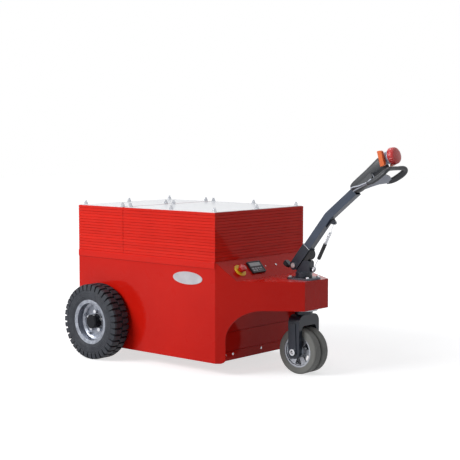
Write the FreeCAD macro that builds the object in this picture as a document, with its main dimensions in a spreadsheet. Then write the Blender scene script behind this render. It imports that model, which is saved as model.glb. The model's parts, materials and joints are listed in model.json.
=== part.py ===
"""Pedestrian electric tow tug: a sheet-steel box on two driven wheels, with a tapered nose that a
twin-wheel steering fork carries, stacks of steel ballast plates on top and a tiller to walk with.

Millimetres and degrees. +X points forward to the tiller, +Y to the left, +Z up. The origin is on the
floor, in the middle of the footprint. Each piece is modelled from the drive axle (X) and the floor (Z),
and axle_x places them all.
"""
import FreeCAD, Part
import math
import os
import Sketcher

Vector = FreeCAD.Vector
doc = FreeCAD.newDocument("TowTug")

# alias, value, what it is
SIZES = [
    ("axle_x", -636.7, "drive axle, from the origin, so that the footprint is centred on it"),
    ("seat_gap", 0.3, "gap where curved or soft pieces seat"),
    ("running_gap", 0.08, "radial clearance of a shaft in its bore"),
    ("box_width", 710, "body, over its side panels"),
    ("box_front", 788, "front of the body, ahead of the drive axle"),
    ("box_rear", 202, "rear of the body, behind the drive axle"),
    ("panel_sheet", 4, "side panels, front and rear walls"),
    ("cover_sheet", 3, "nose cover and lid"),
    ("floor_sheet", 5, "floor pan"),
    ("ground_clearance", 61, "underside of the floor pan"),
    ("floor_flange", 45, "height of the floor pan's turned-up ends"),
    ("battery_cover_height", 137, "lower front panel"),
    ("lid_top", 568, "top of the lid, where the ballast stands"),
    ("lip_depth", 36, "height of the lid's side lips"),
    ("lip_gap", 0.5, "between a lip and the side panel"),
    ("lip_radius", 6, "outer bend of a lip"),
    ("nose_length", 357, "nose, ahead of the body"),
    ("nose_width", 190, "nose, across its front"),
    ("deck_top", 472, "flat top of the nose"),
    ("nose_bottom", 327, "underside of the nose"),
    ("console_run", 88, "sloped console, along X"),
    ("arch_foot", 41, "wheel arch, from the body's front"),
    ("arch_radius", 150, "wheel arch"),
    ("nose_floor_sheet", 6, "plate that closes the nose from below"),
    ("steer_back", 80, "steering axis, behind the nose's front"),
    ("wall_back", 1.5, "front wall and floor pan, behind the fold of the side panels"),
    ("foot_corner", 24, "lower front corner of a side panel"),
    ("column_diameter", 50, "steering column"),
    ("housing_diameter", 92, "steering bearing housing"),
    ("housing_flange", 140, "flange under the nose"),
    ("housing_flange_thick", 9, "flange under the nose"),
    ("deck_plate_long", 132, "bolted plate on the deck, along X"),
    ("deck_plate_wide", 110, "bolted plate on the deck, along Y"),
    ("deck_plate_thick", 10, "bolted plate on the deck"),
    ("tyre_diameter", 400, "drive tyre"),
    ("tyre_width", 105, "drive tyre"),
    ("tyre_gap", 12, "between a drive tyre and the side panel"),
    ("lug_depth", 14, "tread lugs"),
    ("lug_width", 23.5, "tread lug, along the tread"),
    ("tread_groove", 5, "between the two rows of lugs"),
    ("lug_count", 36, "tread lugs in a row"),
    ("bead_diameter", 207, "drive rim, where the tyre seats"),
    ("rim_flange", 14.5, "drive rim's flanges, out from where the tyre seats"),
    ("rim_width", 94, "drive rim, over its flanges"),
    ("rim_sheet", 4, "drive rim"),
    ("disc_depth", 50, "drive rim's disc, inside its outer flange"),
    ("rim_bolt_circle", 166, "bolts that hold the rim's halves"),
    ("hub_diameter", 74, "drive hub's barrel"),
    ("hub_reach", 44, "drive hub's barrel, out of the disc"),
    ("hub_flange", 128, "drive hub's flange"),
    ("wheel_nut_circle", 104, "wheel nuts"),
    ("spindle_diameter", 40, "drive axle's ends"),
    ("axle_tube", 80, "drive axle between the side panels"),
    ("axle_flange", 130, "drive axle's flanges outside the panels"),
    ("gearbox_long", 220, "plain block for the motor and gearbox, along X"),
    ("gearbox_wide", 300, "plain block for the motor and gearbox, along Y"),
    ("gearbox_top", 300, "plain block for the motor and gearbox"),
    ("battery_long", 420, "plain block for the batteries, along X"),
    ("battery_wide", 560, "plain block for the batteries, along Y"),
    ("battery_high", 260, "plain block for the batteries"),
    ("battery_gap", 40, "between the batteries and the front wall"),
    ("plate_count", 16, "ballast plates in each stack"),
    ("plate_thick", 14.7, "ballast plate"),
    ("plate_gap", 0.3, "between ballast plates"),
    ("plate_chamfer", 1.5, "edges of a ballast plate"),
    ("rear_stack", 344, "rear ballast stack, along X"),
    ("stack_seam", 2, "between the two stacks"),
    ("top_sheet", 2, "pale sheet on each stack"),
    ("top_inset", 6, "pale sheet, from the stack's edges"),
    ("stud_inset", 28, "ballast studs, from the stack's edges"),
    ("stud_radius", 6, "ballast stud"),
    ("stud_free", 9, "stud above its nut"),
    ("nut_radius", 10.4, "hexagon nut, to its corners"),
    ("nut_high", 10, "hexagon nut"),
    ("washer_radius", 12, "washer"),
    ("washer_thick", 2.5, "washer"),
    ("tow_plate_wide", 200, "tow bracket's back plate"),
    ("tow_plate_low", 120, "tow bracket's back plate, bottom"),
    ("tow_plate_high", 260, "tow bracket's back plate, height"),
    ("tow_plate_thick", 12, "tow bracket's back plate"),
    ("jaw_height", 250, "middle of the tow jaw"),
    ("jaw_gap", 46, "tow jaw, between its plates"),
    ("jaw_plate", 14, "tow jaw's plates"),
    ("jaw_wide", 96, "tow jaw"),
    ("jaw_reach", 78, "tow jaw's bore, behind the bracket"),
    ("jaw_bore", 26, "tow jaw's bore for a 25 mm pin"),
    ("caster_diameter", 230, "steered wheels"),
    ("caster_width", 48, "one steered wheel"),
    ("caster_space", 10, "between the steered wheels"),
    ("caster_rim", 164, "steered wheel's rim"),
    ("fork_side_gap", 6, "between a steered wheel and its fork leg"),
    ("fork_leg", 27, "fork leg, across"),
    ("fork_wide", 68, "fork leg, along X"),
    ("fork_top", 298, "top of the fork's crown"),
    ("fork_wheel_gap", 14, "between the wheels and the crown"),
    ("fork_corner", 40, "outer corner of the crown"),
    ("fork_rib", 4, "raised rib down each fork leg"),
    ("fork_rib_wide", 34, "raised rib down each fork leg"),
    ("fork_axle", 20, "steered wheels' axle"),
    ("collar_diameter", 90, "collar on the crown"),
    ("collar_high", 17, "collar on the crown"),
    ("ring_diameter", 84, "ring on the deck plate"),
    ("ring_high", 24, "ring on the deck plate"),
    ("ring_gap", 2, "between the deck plate and the ring"),
    ("post_wide", 38, "steering post, across"),
    ("post_front", 48, "steering post, ahead of the steering axis"),
    ("post_top", 568, "steering post"),
    ("pivot_back", 46, "tiller pivot, behind the steering axis"),
    ("pivot_high", 540, "tiller pivot"),
    ("pivot_bolt", 16, "tiller pivot bolt"),
    ("boss_radius", 16, "post's boss round the pivot bolt"),
    ("anchor_ahead", 60, "spring's lower pin, ahead of the steering axis"),
    ("anchor_high", 521, "spring's lower pin"),
    ("anchor_radius", 9, "spring's lower lug"),
    ("anchor_thick", 8, "spring's lower lug"),
    ("spring_pin", 5, "pins at the spring's ends"),
    ("tiller_angle", 51.5, "lower tiller tube, above the horizontal"),
    ("grip_angle", 39, "upper tiller tube, above the horizontal"),
    ("tube_side", 40, "tiller tube"),
    ("tube_wall", 3, "tiller tube"),
    ("tube_start", 66, "tiller tube's lower end, from the pivot"),
    ("bend_at", 325, "bend in the tiller tube, from the pivot"),
    ("upper_tube", 200, "tiller tube above the bend"),
    ("bracket_wall", 5, "tiller bracket"),
    ("bracket_deep", 48, "tiller bracket"),
    ("bracket_end", 122, "tiller bracket's upper end, from the pivot"),
    ("stop_radius", 30, "rubber stop under the tube"),
    ("foot_back", 47, "rear stop, behind the tiller's axis"),
    ("foot_plate_at", 24, "rear stop's plate, below the pivot when the tiller is upright"),
    ("foot_plate_thick", 5, "rear stop's plate"),
    ("foot_rubber", 42, "rear stop's rubber disc"),
    ("foot_rubber_thick", 14, "rear stop's rubber disc"),
    ("hook_at", 318, "spring's upper pin, from the pivot along the tube"),
    ("hook_drop", 43, "spring's upper pin, below the tube's axis"),
    ("eye_radius", 7.8, "spring's upper eye, loose on its pin"),
    ("coil_diameter", 17, "spring coil"),
    ("coil_wire", 2.6, "spring coil's wire"),
    ("sleeve_diameter", 19, "rubber sleeve over the coil"),
    ("sleeve_wall", 0.7, "rubber sleeve"),
    ("sleeve_at", 64, "rubber sleeve, from the spring's lower pin"),
    ("sleeve_long", 88, "rubber sleeve"),
    ("coil_long", 150, "spring coil, with what is in the sleeve"),
    ("pod_wide", 60, "tiller head's body"),
    ("pod_high", 44, "tiller head's body, above the tube's axis"),
    ("pod_low", 20, "tiller head's body, below the tube's axis"),
    ("pod_over", 16, "tiller head's body, over the tube's end"),
    ("pod_long", 213, "tiller head's body, ahead of the tube's end"),
    ("pod_edge", 12, "tiller head's body, round edges"),
    ("nose_drop", 23, "tiller head's nose, down from the tube's line"),
    ("nose_rise", 26, "nose's root, above the tube's axis"),
    ("nose_diameter", 60, "nose, through the throttle"),
    ("nose_reach", 30, "nose, ahead of its root"),
    ("collar_ring", 66, "collar behind the reversing button"),
    ("collar_ring_long", 20, "collar behind the reversing button"),
    ("throttle_long", 24, "throttle's paddles, along the nose"),
    ("throttle_high", 74, "throttle's paddles"),
    ("throttle_thick", 14, "throttle's paddles"),
    ("button_diameter", 84, "reversing button"),
    ("button_thick", 35, "reversing button"),
    ("wing_droop", 32, "tiller head's arms, down from level"),
    ("wing_root", 24, "undersides of the arms where they would meet, above the tube's axis"),
    ("wing_thick", 16, "tiller head's arms"),
    ("arm_spread", 232, "tiller head's arms, over their ends"),
    ("arm_reach", 146, "tiller head's arms, ahead of the tube's end"),
    ("grip_spread", 268, "hand grips, over both"),
    ("grip_reach", 258, "hand grips, ahead of the tube's end"),
    ("grip_wide", 31, "hand grip's bar"),
    ("grip_end", 16, "hand grip's bar, where it meets the nose"),
    ("grip_thick", 20, "hand grip's bar"),
    ("stop_inset", 134, "emergency stop, from the body's right side"),
    ("stop_diameter", 40, "emergency stop's button"),
    ("stop_collar", 68, "emergency stop's collar"),
    ("gauge_inset", 259, "gauge, from the body's right side"),
    ("gauge_wide", 100, "gauge"),
    ("gauge_long", 70, "gauge, down the slope"),
    ("gauge_thick", 9, "gauge"),
]

sheet = doc.addObject("Spreadsheet::Sheet", "Sizes")
for row, (alias, number, note) in enumerate(SIZES, start=1):
    sheet.set(f"A{row}", note)
    sheet.set(f"B{row}", str(number))
    sheet.setAlias(f"B{row}", alias)
doc.recompute()


class Size:
    """A length or angle worked out from the sheet: its number now, and the expression that ties it."""

    def __init__(self, number, text):
        self.number = float(number)
        self.text = text

    @staticmethod
    def of(other):
        return other if isinstance(other, Size) else Size(other, f"({other:.6f})")

    def __add__(self, other):
        other = Size.of(other)
        return Size(self.number + other.number, f"({self.text} + {other.text})")

    def __sub__(self, other):
        other = Size.of(other)
        return Size(self.number - other.number, f"({self.text} - {other.text})")

    def __mul__(self, other):
        other = Size.of(other)
        return Size(self.number * other.number, f"({self.text} * {other.text})")

    def __truediv__(self, other):
        other = Size.of(other)
        return Size(self.number / other.number, f"({self.text} / {other.text})")

    def __radd__(self, other):
        return Size.of(other) + self

    def __rsub__(self, other):
        return Size.of(other) - self

    def __rmul__(self, other):
        return Size.of(other) * self

    def __neg__(self):
        return Size.of(-1) * self


def cell(alias):
    return Size(getattr(sheet, alias), f"Sizes.{alias}")


def root(size):
    return Size(math.sqrt(size.number), f"sqrt({size.text})")


def sine(size):
    return Size(math.sin(math.radians(size.number)), f"sin({size.text})")


def cosine(size):
    return Size(math.cos(math.radians(size.number)), f"cos({size.text})")


def arctangent(size):
    """The angle in degrees whose tangent is size."""
    return Size(math.degrees(math.atan(size.number)), f"(atan({size.text}) / 1deg)")


# Places that several pieces share
half_width = cell("box_width") / 2
front = cell("box_front")
nose_front = front + cell("nose_length")
steer_x = nose_front - cell("steer_back")
tyre_radius = cell("tyre_diameter") / 2
wheel_y = half_width + cell("tyre_gap") + cell("tyre_width") / 2
floor_top = cell("ground_clearance") + cell("floor_sheet")
lid_under = cell("lid_top") - cell("cover_sheet")
inner_half = half_width - cell("panel_sheet")
half_nose = cell("nose_width") / 2
cheek_spread = half_width - half_nose
cheek_length = root(cell("nose_length") * cell("nose_length") + cheek_spread * cheek_spread)
cheek_slant = cell("panel_sheet") * cheek_length / cell("nose_length")  # sheet, measured along Y
console_angle = arctangent((lid_under - cell("deck_top")) / cell("console_run"))
deck_plate_top = cell("deck_top") + cell("deck_plate_thick")
ring_bottom = deck_plate_top + cell("ring_gap")
ring_top = ring_bottom + cell("ring_high")
caster_radius = cell("caster_diameter") / 2
fork_inner = cell("caster_space") / 2 + cell("caster_width") + cell("fork_side_gap")
fork_outer = fork_inner + cell("fork_leg")
pivot_x = steer_x - cell("pivot_back")
pivot_z = cell("pivot_high")
half_tube = cell("tube_side") / 2
bend_x = pivot_x + cell("bend_at") * cosine(cell("tiller_angle"))
bend_z = pivot_z + cell("bend_at") * sine(cell("tiller_angle"))
head_x = bend_x + cell("upper_tube") * cosine(cell("grip_angle"))
head_z = bend_z + cell("upper_tube") * sine(cell("grip_angle"))
anchor_x = steer_x + cell("anchor_ahead")
anchor_z = cell("anchor_high")
hook_x = (pivot_x + cell("hook_at") * cosine(cell("tiller_angle"))
          + cell("hook_drop") * sine(cell("tiller_angle")))
hook_z = (pivot_z + cell("hook_at") * sine(cell("tiller_angle"))
          - cell("hook_drop") * cosine(cell("tiller_angle")))
spring_span = root((hook_x - anchor_x) * (hook_x - anchor_x) + (hook_z - anchor_z) * (hook_z - anchor_z))
spring_angle = arctangent((hook_z - anchor_z) / (hook_x - anchor_x))
pitch = cell("plate_thick") + cell("plate_gap")
stack_top = cell("lid_top") + pitch * cell("plate_count") - cell("plate_gap")

nodes = []


def place(item, x=0, y=0, z=0, turn_y=0, turn_z=0):
    """Puts a piece's own frame at (x, y, z) from the drive axle and the floor, turned about Y or Z."""
    turn_y, turn_z = Size.of(turn_y), Size.of(turn_z)
    axis = Vector(0, 0, 1) if turn_z.number else Vector(0, 1, 0)
    turn = turn_z if turn_z.number else turn_y
    item.Placement = FreeCAD.Placement(Vector(0, 0, 0), FreeCAD.Rotation(axis, turn.number))
    item.setExpression("Placement.Base.x", (cell("axle_x") + x).text)
    item.setExpression("Placement.Base.y", Size.of(y).text)
    item.setExpression("Placement.Base.z", Size.of(z).text)
    if turn.number:
        item.setExpression("Placement.Rotation.Angle", turn.text)
    nodes.append(item)
    return item


def new_body(label, several=False, **where):
    body = doc.addObject("PartDesign::Body", label)
    body.Label = label
    body.AllowCompound = several
    return place(body, **where)


def new_sketch(body, plane, offset=0):
    """A sketch on one of the body's origin planes, moved along the plane's normal."""
    sketch = body.newObject("Sketcher::SketchObject", "Sketch")
    support = next(f for f in body.Origin.OriginFeatures if f.Role == plane + "_Plane")
    sketch.AttachmentSupport = [(support, "")]
    sketch.MapMode = "FlatFace"
    sketch.setExpression("AttachmentOffset.Base.z", Size.of(offset).text)
    sketch.AttachmentOffset = FreeCAD.Placement(
        Vector(0, 0, Size.of(offset).number), FreeCAD.Rotation()
    )
    return sketch


def arc_between(start, end, radius, side):
    """An arc from start to end. side is +1 where its centre is on the left of the way, -1 on the right."""
    middle, chord = (start + end) / 2, end - start
    left = Vector(-chord.y, chord.x, 0).normalize()
    rise = math.sqrt(max(radius**2 - (chord.Length / 2) ** 2, 0))
    centre = middle + left * rise * side
    first, last = (start, end) if side > 0 else (end, start)
    angles = [math.atan2(p.y - centre.y, p.x - centre.x) for p in (first, last)]
    if angles[1] < angles[0]:
        angles[1] += 2 * math.pi
    return Part.ArcOfCircle(Part.Circle(centre, Vector(0, 0, 1), radius), *angles)


def outline(sketch, points):
    """A closed outline. A point is (x, y), or (x, y, radius, side) where an arc starts at it."""
    places = [Vector(Size.of(p[0]).number, Size.of(p[1]).number, 0) for p in points]
    ends = []
    for index, point in enumerate(points):
        start, end = places[index], places[(index + 1) % len(points)]
        if len(point) == 2:
            edge = sketch.addGeometry(Part.LineSegment(start, end), False)
            ends.append((edge, 1, 2))
        else:
            radius, side = Size.of(point[2]), point[3]
            edge = sketch.addGeometry(arc_between(start, end, radius.number, side), False)
            ends.append((edge, 1, 2) if side > 0 else (edge, 2, 1))
    for index, point in enumerate(points):
        edge, first, last = ends[index]
        after, after_first, _ = ends[(index + 1) % len(points)]
        sketch.addConstraint(Sketcher.Constraint("Coincident", edge, last, after, after_first))
        for kind, size in (("DistanceX", Size.of(point[0])), ("DistanceY", Size.of(point[1]))):
            bind(sketch, Sketcher.Constraint(kind, -1, 1, edge, first, size.number), size)
        if len(point) == 4:
            radius = Size.of(point[2])
            bind(sketch, Sketcher.Constraint("Radius", edge, radius.number), radius)


def circle(sketch, x, y, radius):
    x, y, radius = Size.of(x), Size.of(y), Size.of(radius)
    centre = Vector(x.number, y.number, 0)
    edge = sketch.addGeometry(Part.Circle(centre, Vector(0, 0, 1), radius.number), False)
    bind(sketch, Sketcher.Constraint("DistanceX", -1, 1, edge, 3, x.number), x)
    bind(sketch, Sketcher.Constraint("DistanceY", -1, 1, edge, 3, y.number), y)
    bind(sketch, Sketcher.Constraint("Radius", edge, radius.number), radius)


def bind(sketch, constraint, size):
    """Adds a constraint whose value follows the sheet."""
    number = sketch.addConstraint(constraint)
    sketch.setExpression(f"Constraints[{number}]", size.text)


def extrude(body, sketch, length, cut=False, middle=False, back=False):
    """A Pad, or a Pocket where cut is set: from the sketch, or from both its sides where middle is set."""
    feature = body.newObject("PartDesign::" + ("Pocket" if cut else "Pad"), "Extrude")
    feature.Profile = sketch
    feature.SideType = "Symmetric" if middle else "One side"
    feature.Reversed = back
    length = Size.of(length)
    feature.Length = length.number
    feature.setExpression("Length", length.text)
    return feature


def revolve(body, sketch, axis, cut=False):
    """A full turn about the sketch's H_Axis or V_Axis."""
    feature = body.newObject("PartDesign::" + ("Groove" if cut else "Revolution"), "Revolve")
    feature.Profile = sketch
    feature.ReferenceAxis = (sketch, [axis])
    feature.Angle = 360
    return feature


def repeat_round(body, feature, axis, count):
    """The feature repeated round one of the body's axes."""
    pattern = body.newObject("PartDesign::PolarPattern", "Round")
    pattern.Originals = [feature]
    line = next(f for f in body.Origin.OriginFeatures if f.Role == axis + "_Axis")
    pattern.Axis = (line, [""])
    pattern.Angle = 360
    pattern.Occurrences = count
    body.Tip = pattern
    return pattern


def round_edges(body, feature, radius, wanted, chamfer=False):
    """Fillets, or chamfers, the feature's edges for which wanted(edge) is true."""
    doc.recompute()
    names = [f"Edge{n}" for n, edge in enumerate(feature.Shape.Edges, start=1) if wanted(edge)]
    if not names:
        raise ValueError(f"{body.Label}: no edge to round")
    made = body.newObject("PartDesign::" + ("Chamfer" if chamfer else "Fillet"), "Edges")
    made.Base = (feature, names)
    radius = Size.of(radius)
    name = "Size" if chamfer else "Radius"
    setattr(made, name, radius.number)
    made.setExpression(name, radius.text)
    body.Tip = made
    return made


def along(edge, axis):
    """Whether a straight edge runs along an axis."""
    if not isinstance(edge.Curve, (Part.Line, Part.LineSegment)):
        return False
    direction = edge.tangentAt(edge.FirstParameter)
    return abs(abs(direction.dot(axis)) - 1) < 1e-6


X_AXIS, Y_AXIS, Z_AXIS = Vector(1, 0, 0), Vector(0, 1, 0), Vector(0, 0, 1)


# The box: floor pan, walls, side panels and lid
def floor_pan():
    body = new_body("floor_pan")
    low, sheet_thick = cell("ground_clearance"), cell("floor_sheet")
    high = low + cell("floor_flange")
    rear, end = cell("panel_sheet") - cell("box_rear"), front - cell("wall_back")
    section = new_sketch(body, "XZ")
    outline(section, [
        (rear, low), (end, low), (end, high), (end - sheet_thick, high),
        (end - sheet_thick, floor_top), (rear + sheet_thick, floor_top),
        (rear + sheet_thick, high), (rear, high),
    ])
    pad = extrude(body, section, inner_half * 2, middle=True)
    round_edges(body, pad, sheet_thick, lambda e: along(e, Y_AXIS) and e.BoundBox.ZMax < low.number + 1)
    return body


def wall(label, x_near, x_far, z_low, z_high):
    """A flat sheet across the box."""
    body = new_body(label)
    face = new_sketch(body, "YZ", x_near)
    outline(face, [(-inner_half, z_low), (inner_half, z_low), (inner_half, z_high), (-inner_half, z_high)])
    extrude(body, face, x_far - x_near)
    return body


def walls():
    sheet_thick, flange = cell("panel_sheet"), cell("floor_sheet")
    cover_front = front - cell("wall_back") - flange
    wall("battery_cover", cover_front - sheet_thick, cover_front, floor_top,
         floor_top + cell("battery_cover_height"))
    wall("front_wall", cover_front - sheet_thick * 2, cover_front - sheet_thick, floor_top, lid_under)
    rear = -cell("box_rear")
    wall("rear_wall", rear, rear + sheet_thick, cell("ground_clearance"), lid_under)


def side_panel(label, side):
    """A side panel whose front is folded in to make the nose's cheek. side is -1 on the right."""
    body = new_body(label)
    sheet_thick = cell("panel_sheet")
    fold = front - sheet_thick * (cheek_length - cell("nose_length")) / cheek_spread
    plan = new_sketch(body, "XY", cell("ground_clearance"))
    outline(plan, [
        (-cell("box_rear"), half_width * side), (front, half_width * side), (nose_front, half_nose * side),
        (nose_front, (half_nose - cheek_slant) * side), (fold, inner_half * side),
        (-cell("box_rear"), inner_half * side),
    ])
    extrude(body, plan, lid_under - cell("ground_clearance"))
    beyond = nose_front + 20
    low, corner = cell("ground_clearance"), cell("foot_corner")
    over, under = cell("lid_top") + 20, low - 10
    foot, arch = front + cell("arch_foot"), cell("arch_radius")
    view = new_sketch(body, "XZ")
    outline(view, [
        (front, lid_under), (front + cell("console_run"), cell("deck_top")), (beyond, cell("deck_top")),
        (beyond, over), (front, over),
    ])
    outline(view, [
        (foot - corner, under), (beyond, under), (beyond, cell("nose_bottom")),
        (foot + arch, cell("nose_bottom"), arch, 1), (foot, cell("nose_bottom") - arch),
        (foot, low + corner, corner, -1), (foot - corner, low),
    ])
    circle(view, 0, tyre_radius, cell("axle_tube") / 2 + cell("seat_gap"))
    extrude(body, view, cell("box_width") * 2, cut=True, middle=True)
    return body


def lid():
    """A tray turned upside down: the ballast stands on it, and its lips overlap the side panels."""
    body = new_body("lid")
    thick, bend = cell("cover_sheet"), cell("lip_radius")
    inside = half_width + cell("lip_gap")
    outside = inside + thick
    top, low = cell("lid_top"), cell("lid_top") - cell("lip_depth")
    section = new_sketch(body, "YZ", -cell("box_rear"))
    outline(section, [
        (-outside, low), (-inside, low), (-inside, top - thick), (inside, top - thick), (inside, low),
        (outside, low), (outside, top - bend, bend, 1), (outside - bend, top), (bend - outside, top, bend, 1),
        (-outside, top - bend),
    ])
    extrude(body, section, front + cell("box_rear"))
    return body


# The nose: cover, floor, steering housing and the bolted plate on the deck
def trim_to_cheeks(body):
    """Cuts away what lies outside the cheeks' inner faces."""
    beyond = cell("nose_length") / 10
    slope = cheek_spread / cell("nose_length")
    near, far = half_width - cheek_slant + beyond * slope, half_nose - cheek_slant - beyond * slope
    plan = new_sketch(body, "XY")
    for side in (-1, 1):
        outline(plan, [
            (front - beyond, near * side), (nose_front + beyond, far * side),
            (nose_front + beyond, half_width * 2 * side), (front - beyond, half_width * 2 * side),
        ])
    cut = extrude(body, plan, cell("lid_top") * 2, cut=True, middle=True)
    return cut


def nose_cover():
    """One folded sheet: the sloped console, the deck and the nose's front."""
    body = new_body("nose_cover")
    thick, deck = cell("cover_sheet"), cell("deck_top")
    upright = thick / cosine(console_angle)
    corner = front + cell("console_run") - thick * (1 - cosine(console_angle)) / sine(console_angle)
    section = new_sketch(body, "XZ")
    outline(section, [
        (front, lid_under - upright), (corner, deck - thick), (nose_front - thick, deck - thick),
        (nose_front - thick, cell("nose_bottom")), (nose_front, cell("nose_bottom")), (nose_front, deck),
        (front + cell("console_run"), deck), (front, lid_under),
    ])
    extrude(body, section, cell("box_width"), middle=True)
    trim_to_cheeks(body)
    hole = new_sketch(body, "XY")
    circle(hole, steer_x, 0, cell("column_diameter") / 2 + cell("ring_gap"))
    extrude(body, hole, cell("lid_top"), cut=True, back=True)
    return body


def nose_floor():
    body = new_body("nose_floor")
    bottom = cell("nose_bottom")
    plan = new_sketch(body, "XY", bottom)
    end = nose_front - cell("cover_sheet")
    start = front - cell("wall_back") - cell("floor_sheet") - cell("panel_sheet")
    outline(plan, [
        (start, -half_width), (end, -half_width), (end, half_width), (start, half_width),
    ])
    circle(plan, steer_x, 0, cell("housing_diameter") / 2 + cell("seat_gap"))
    extrude(body, plan, cell("nose_floor_sheet"))
    trim_to_cheeks(body)
    sides = new_sketch(body, "XY")
    for side in (-1, 1):
        outline(sides, [
            (start - 10, inner_half * side), (nose_front, inner_half * side),
            (nose_front, half_width * 2 * side), (start - 10, half_width * 2 * side),
        ])
    extrude(body, sides, cell("lid_top") * 2, cut=True, middle=True)
    return body


def steering_housing():
    body = new_body("steering_housing", x=steer_x)
    bore = cell("column_diameter") / 2 + cell("running_gap")
    tube, flange = cell("housing_diameter") / 2, cell("housing_flange") / 2
    low = cell("nose_bottom") - cell("housing_flange_thick")
    section = new_sketch(body, "XZ")
    outline(section, [
        (bore, low), (flange, low), (flange, cell("nose_bottom")), (tube, cell("nose_bottom")),
        (tube, cell("deck_top") - cell("cover_sheet")), (bore, cell("deck_top") - cell("cover_sheet")),
    ])
    revolve(body, section, "V_Axis")
    return body


def deck_plate():
    body = new_body("deck_plate", x=steer_x)
    long, wide = cell("deck_plate_long") / 2, cell("deck_plate_wide") / 2
    plan = new_sketch(body, "XY", cell("deck_top"))
    outline(plan, [(-long, -wide), (long, -wide), (long, wide), (-long, wide)])
    circle(plan, 0, 0, cell("column_diameter") / 2 + cell("ring_gap"))
    pad = extrude(body, plan, cell("deck_plate_thick"))
    round_edges(body, pad, 8, lambda e: along(e, Z_AXIS))
    return body


# Heavy masses inside, as plain blocks
def battery_block():
    body = new_body("battery_block")
    ahead = front - cell("floor_sheet") - cell("panel_sheet") * 2 - cell("battery_gap")
    wide = cell("battery_wide") / 2
    plan = new_sketch(body, "XY", floor_top)
    outline(plan, [
        (ahead - cell("battery_long"), -wide), (ahead, -wide), (ahead, wide),
        (ahead - cell("battery_long"), wide),
    ])
    extrude(body, plan, cell("battery_high"))
    return body


def drive_axle():
    """Motor and gearbox as a plain block, and the axle tube with the spindles that carry the wheels."""
    body = new_body("drive_axle", z=tyre_radius)
    tube, flange = cell("axle_tube") / 2, cell("axle_flange") / 2
    spindle = cell("spindle_diameter") / 2
    flange_out = half_width + cell("tyre_gap") * 0.6
    spindle_end = wheel_y + cell("hub_diameter") * 0.3
    section = new_sketch(body, "YZ")
    half = [
        (spindle_end, 0), (spindle_end, spindle), (flange_out, spindle), (flange_out, flange),
        (half_width, flange), (half_width, tube),
    ]
    mirrored = [(-y, z) for y, z in reversed(half)]
    outline(section, half + mirrored)
    revolve(body, section, "H_Axis")
    plan = new_sketch(body, "XZ")
    long = cell("gearbox_long") / 2
    outline(plan, [
        (-long, floor_top - tyre_radius), (long, floor_top - tyre_radius),
        (long, cell("gearbox_top") - tyre_radius), (-long, cell("gearbox_top") - tyre_radius),
    ])
    extrude(body, plan, cell("gearbox_wide"), middle=True)
    return body


# Ballast
def ballast_stack(label, rear_x, front_x):
    """A stack of equal steel plates: one plate, repeated upwards."""
    body = new_body(label, several=True)
    plan = new_sketch(body, "XY", cell("lid_top"))
    outline(plan, [(rear_x, -half_width), (front_x, -half_width), (front_x, half_width), (rear_x, half_width)])
    plate = extrude(body, plan, cell("plate_thick"))
    wanted = lambda e: not along(e, Z_AXIS)
    edges = round_edges(body, plate, cell("plate_chamfer"), wanted, chamfer=True)
    stack = body.newObject("PartDesign::LinearPattern", "Stack")
    stack.TransformMode = "Whole shape"
    up = next(f for f in body.Origin.OriginFeatures if f.Role == "Z_Axis")
    stack.Direction = (up, [""])
    stack.setExpression("Length", (pitch * (cell("plate_count") - 1)).text)
    stack.setExpression("Occurrences", "Sizes.plate_count")
    stack.Length = (pitch * (cell("plate_count") - 1)).number
    stack.Occurrences = int(cell("plate_count").number)
    body.Tip = stack
    return body


def stack_ends():
    """(rear, front) of the rear stack and of the front stack, from the drive axle."""
    rear = -cell("box_rear")
    seam = rear + cell("rear_stack")
    half_seam = cell("stack_seam") / 2
    return (rear, seam - half_seam), (seam + half_seam, front)


def ballast():
    rear_ends, front_ends = stack_ends()
    ballast_stack("ballast_plates_rear", *rear_ends)
    ballast_stack("ballast_plates_front", *front_ends)
    body = new_body("top_sheets", several=True)
    plan = new_sketch(body, "XY", stack_top)
    inset, side = cell("top_inset"), half_width - cell("top_inset")
    for ends in (rear_ends, front_ends):
        outline(plan, [
            (ends[0] + inset, -side), (ends[1] - inset, -side), (ends[1] - inset, side),
            (ends[0] + inset, side),
        ])
    extrude(body, plan, cell("top_sheet"))


def stud_places():
    """The studs' places: rows along each stack's sides and ends, with none in the front stack's middle."""
    inset = cell("stud_inset").number
    side = half_width.number - inset
    rear_ends, front_ends = stack_ends()
    places = []
    for ends, rows in ((rear_ends, 2), (front_ends, 3)):
        first, last = ends[0].number + inset, ends[1].number - inset
        for row in range(rows):
            x = first + (last - first) * row / (rows - 1)
            inner = rows == 3 and row == 1
            places += [(x, y) for y in (-side, 0, side) if not (inner and y == 0)]
    return places


def ballast_studs():
    """Washer, hexagon nut and the free end of each stud, standing on the pale sheets."""
    low = stack_top.number + cell("top_sheet").number
    washer, nut, free = (cell(name).number for name in ("washer_thick", "nut_high", "stud_free"))
    solids = []
    for x, y in stud_places():
        corners = [
            Vector(x, y, low + washer) + Vector(math.cos(a), math.sin(a), 0) * cell("nut_radius").number
            for a in (math.radians(60 * n) for n in range(7))
        ]
        hexagon = Part.Face(Part.makePolygon(corners)).extrude(Vector(0, 0, nut))
        disc = Part.makeCylinder(cell("washer_radius").number, washer, Vector(x, y, low))
        stud = Part.makeCylinder(cell("stud_radius").number, washer + nut + free, Vector(x, y, low))
        solids.append(disc.fuse([hexagon, stud]).removeSplitter().Solids[0])
    item = doc.addObject("Part::Feature", "ballast_studs")
    item.Shape = Part.Compound(solids)
    item.Label = "ballast_studs"
    place(item)


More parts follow.
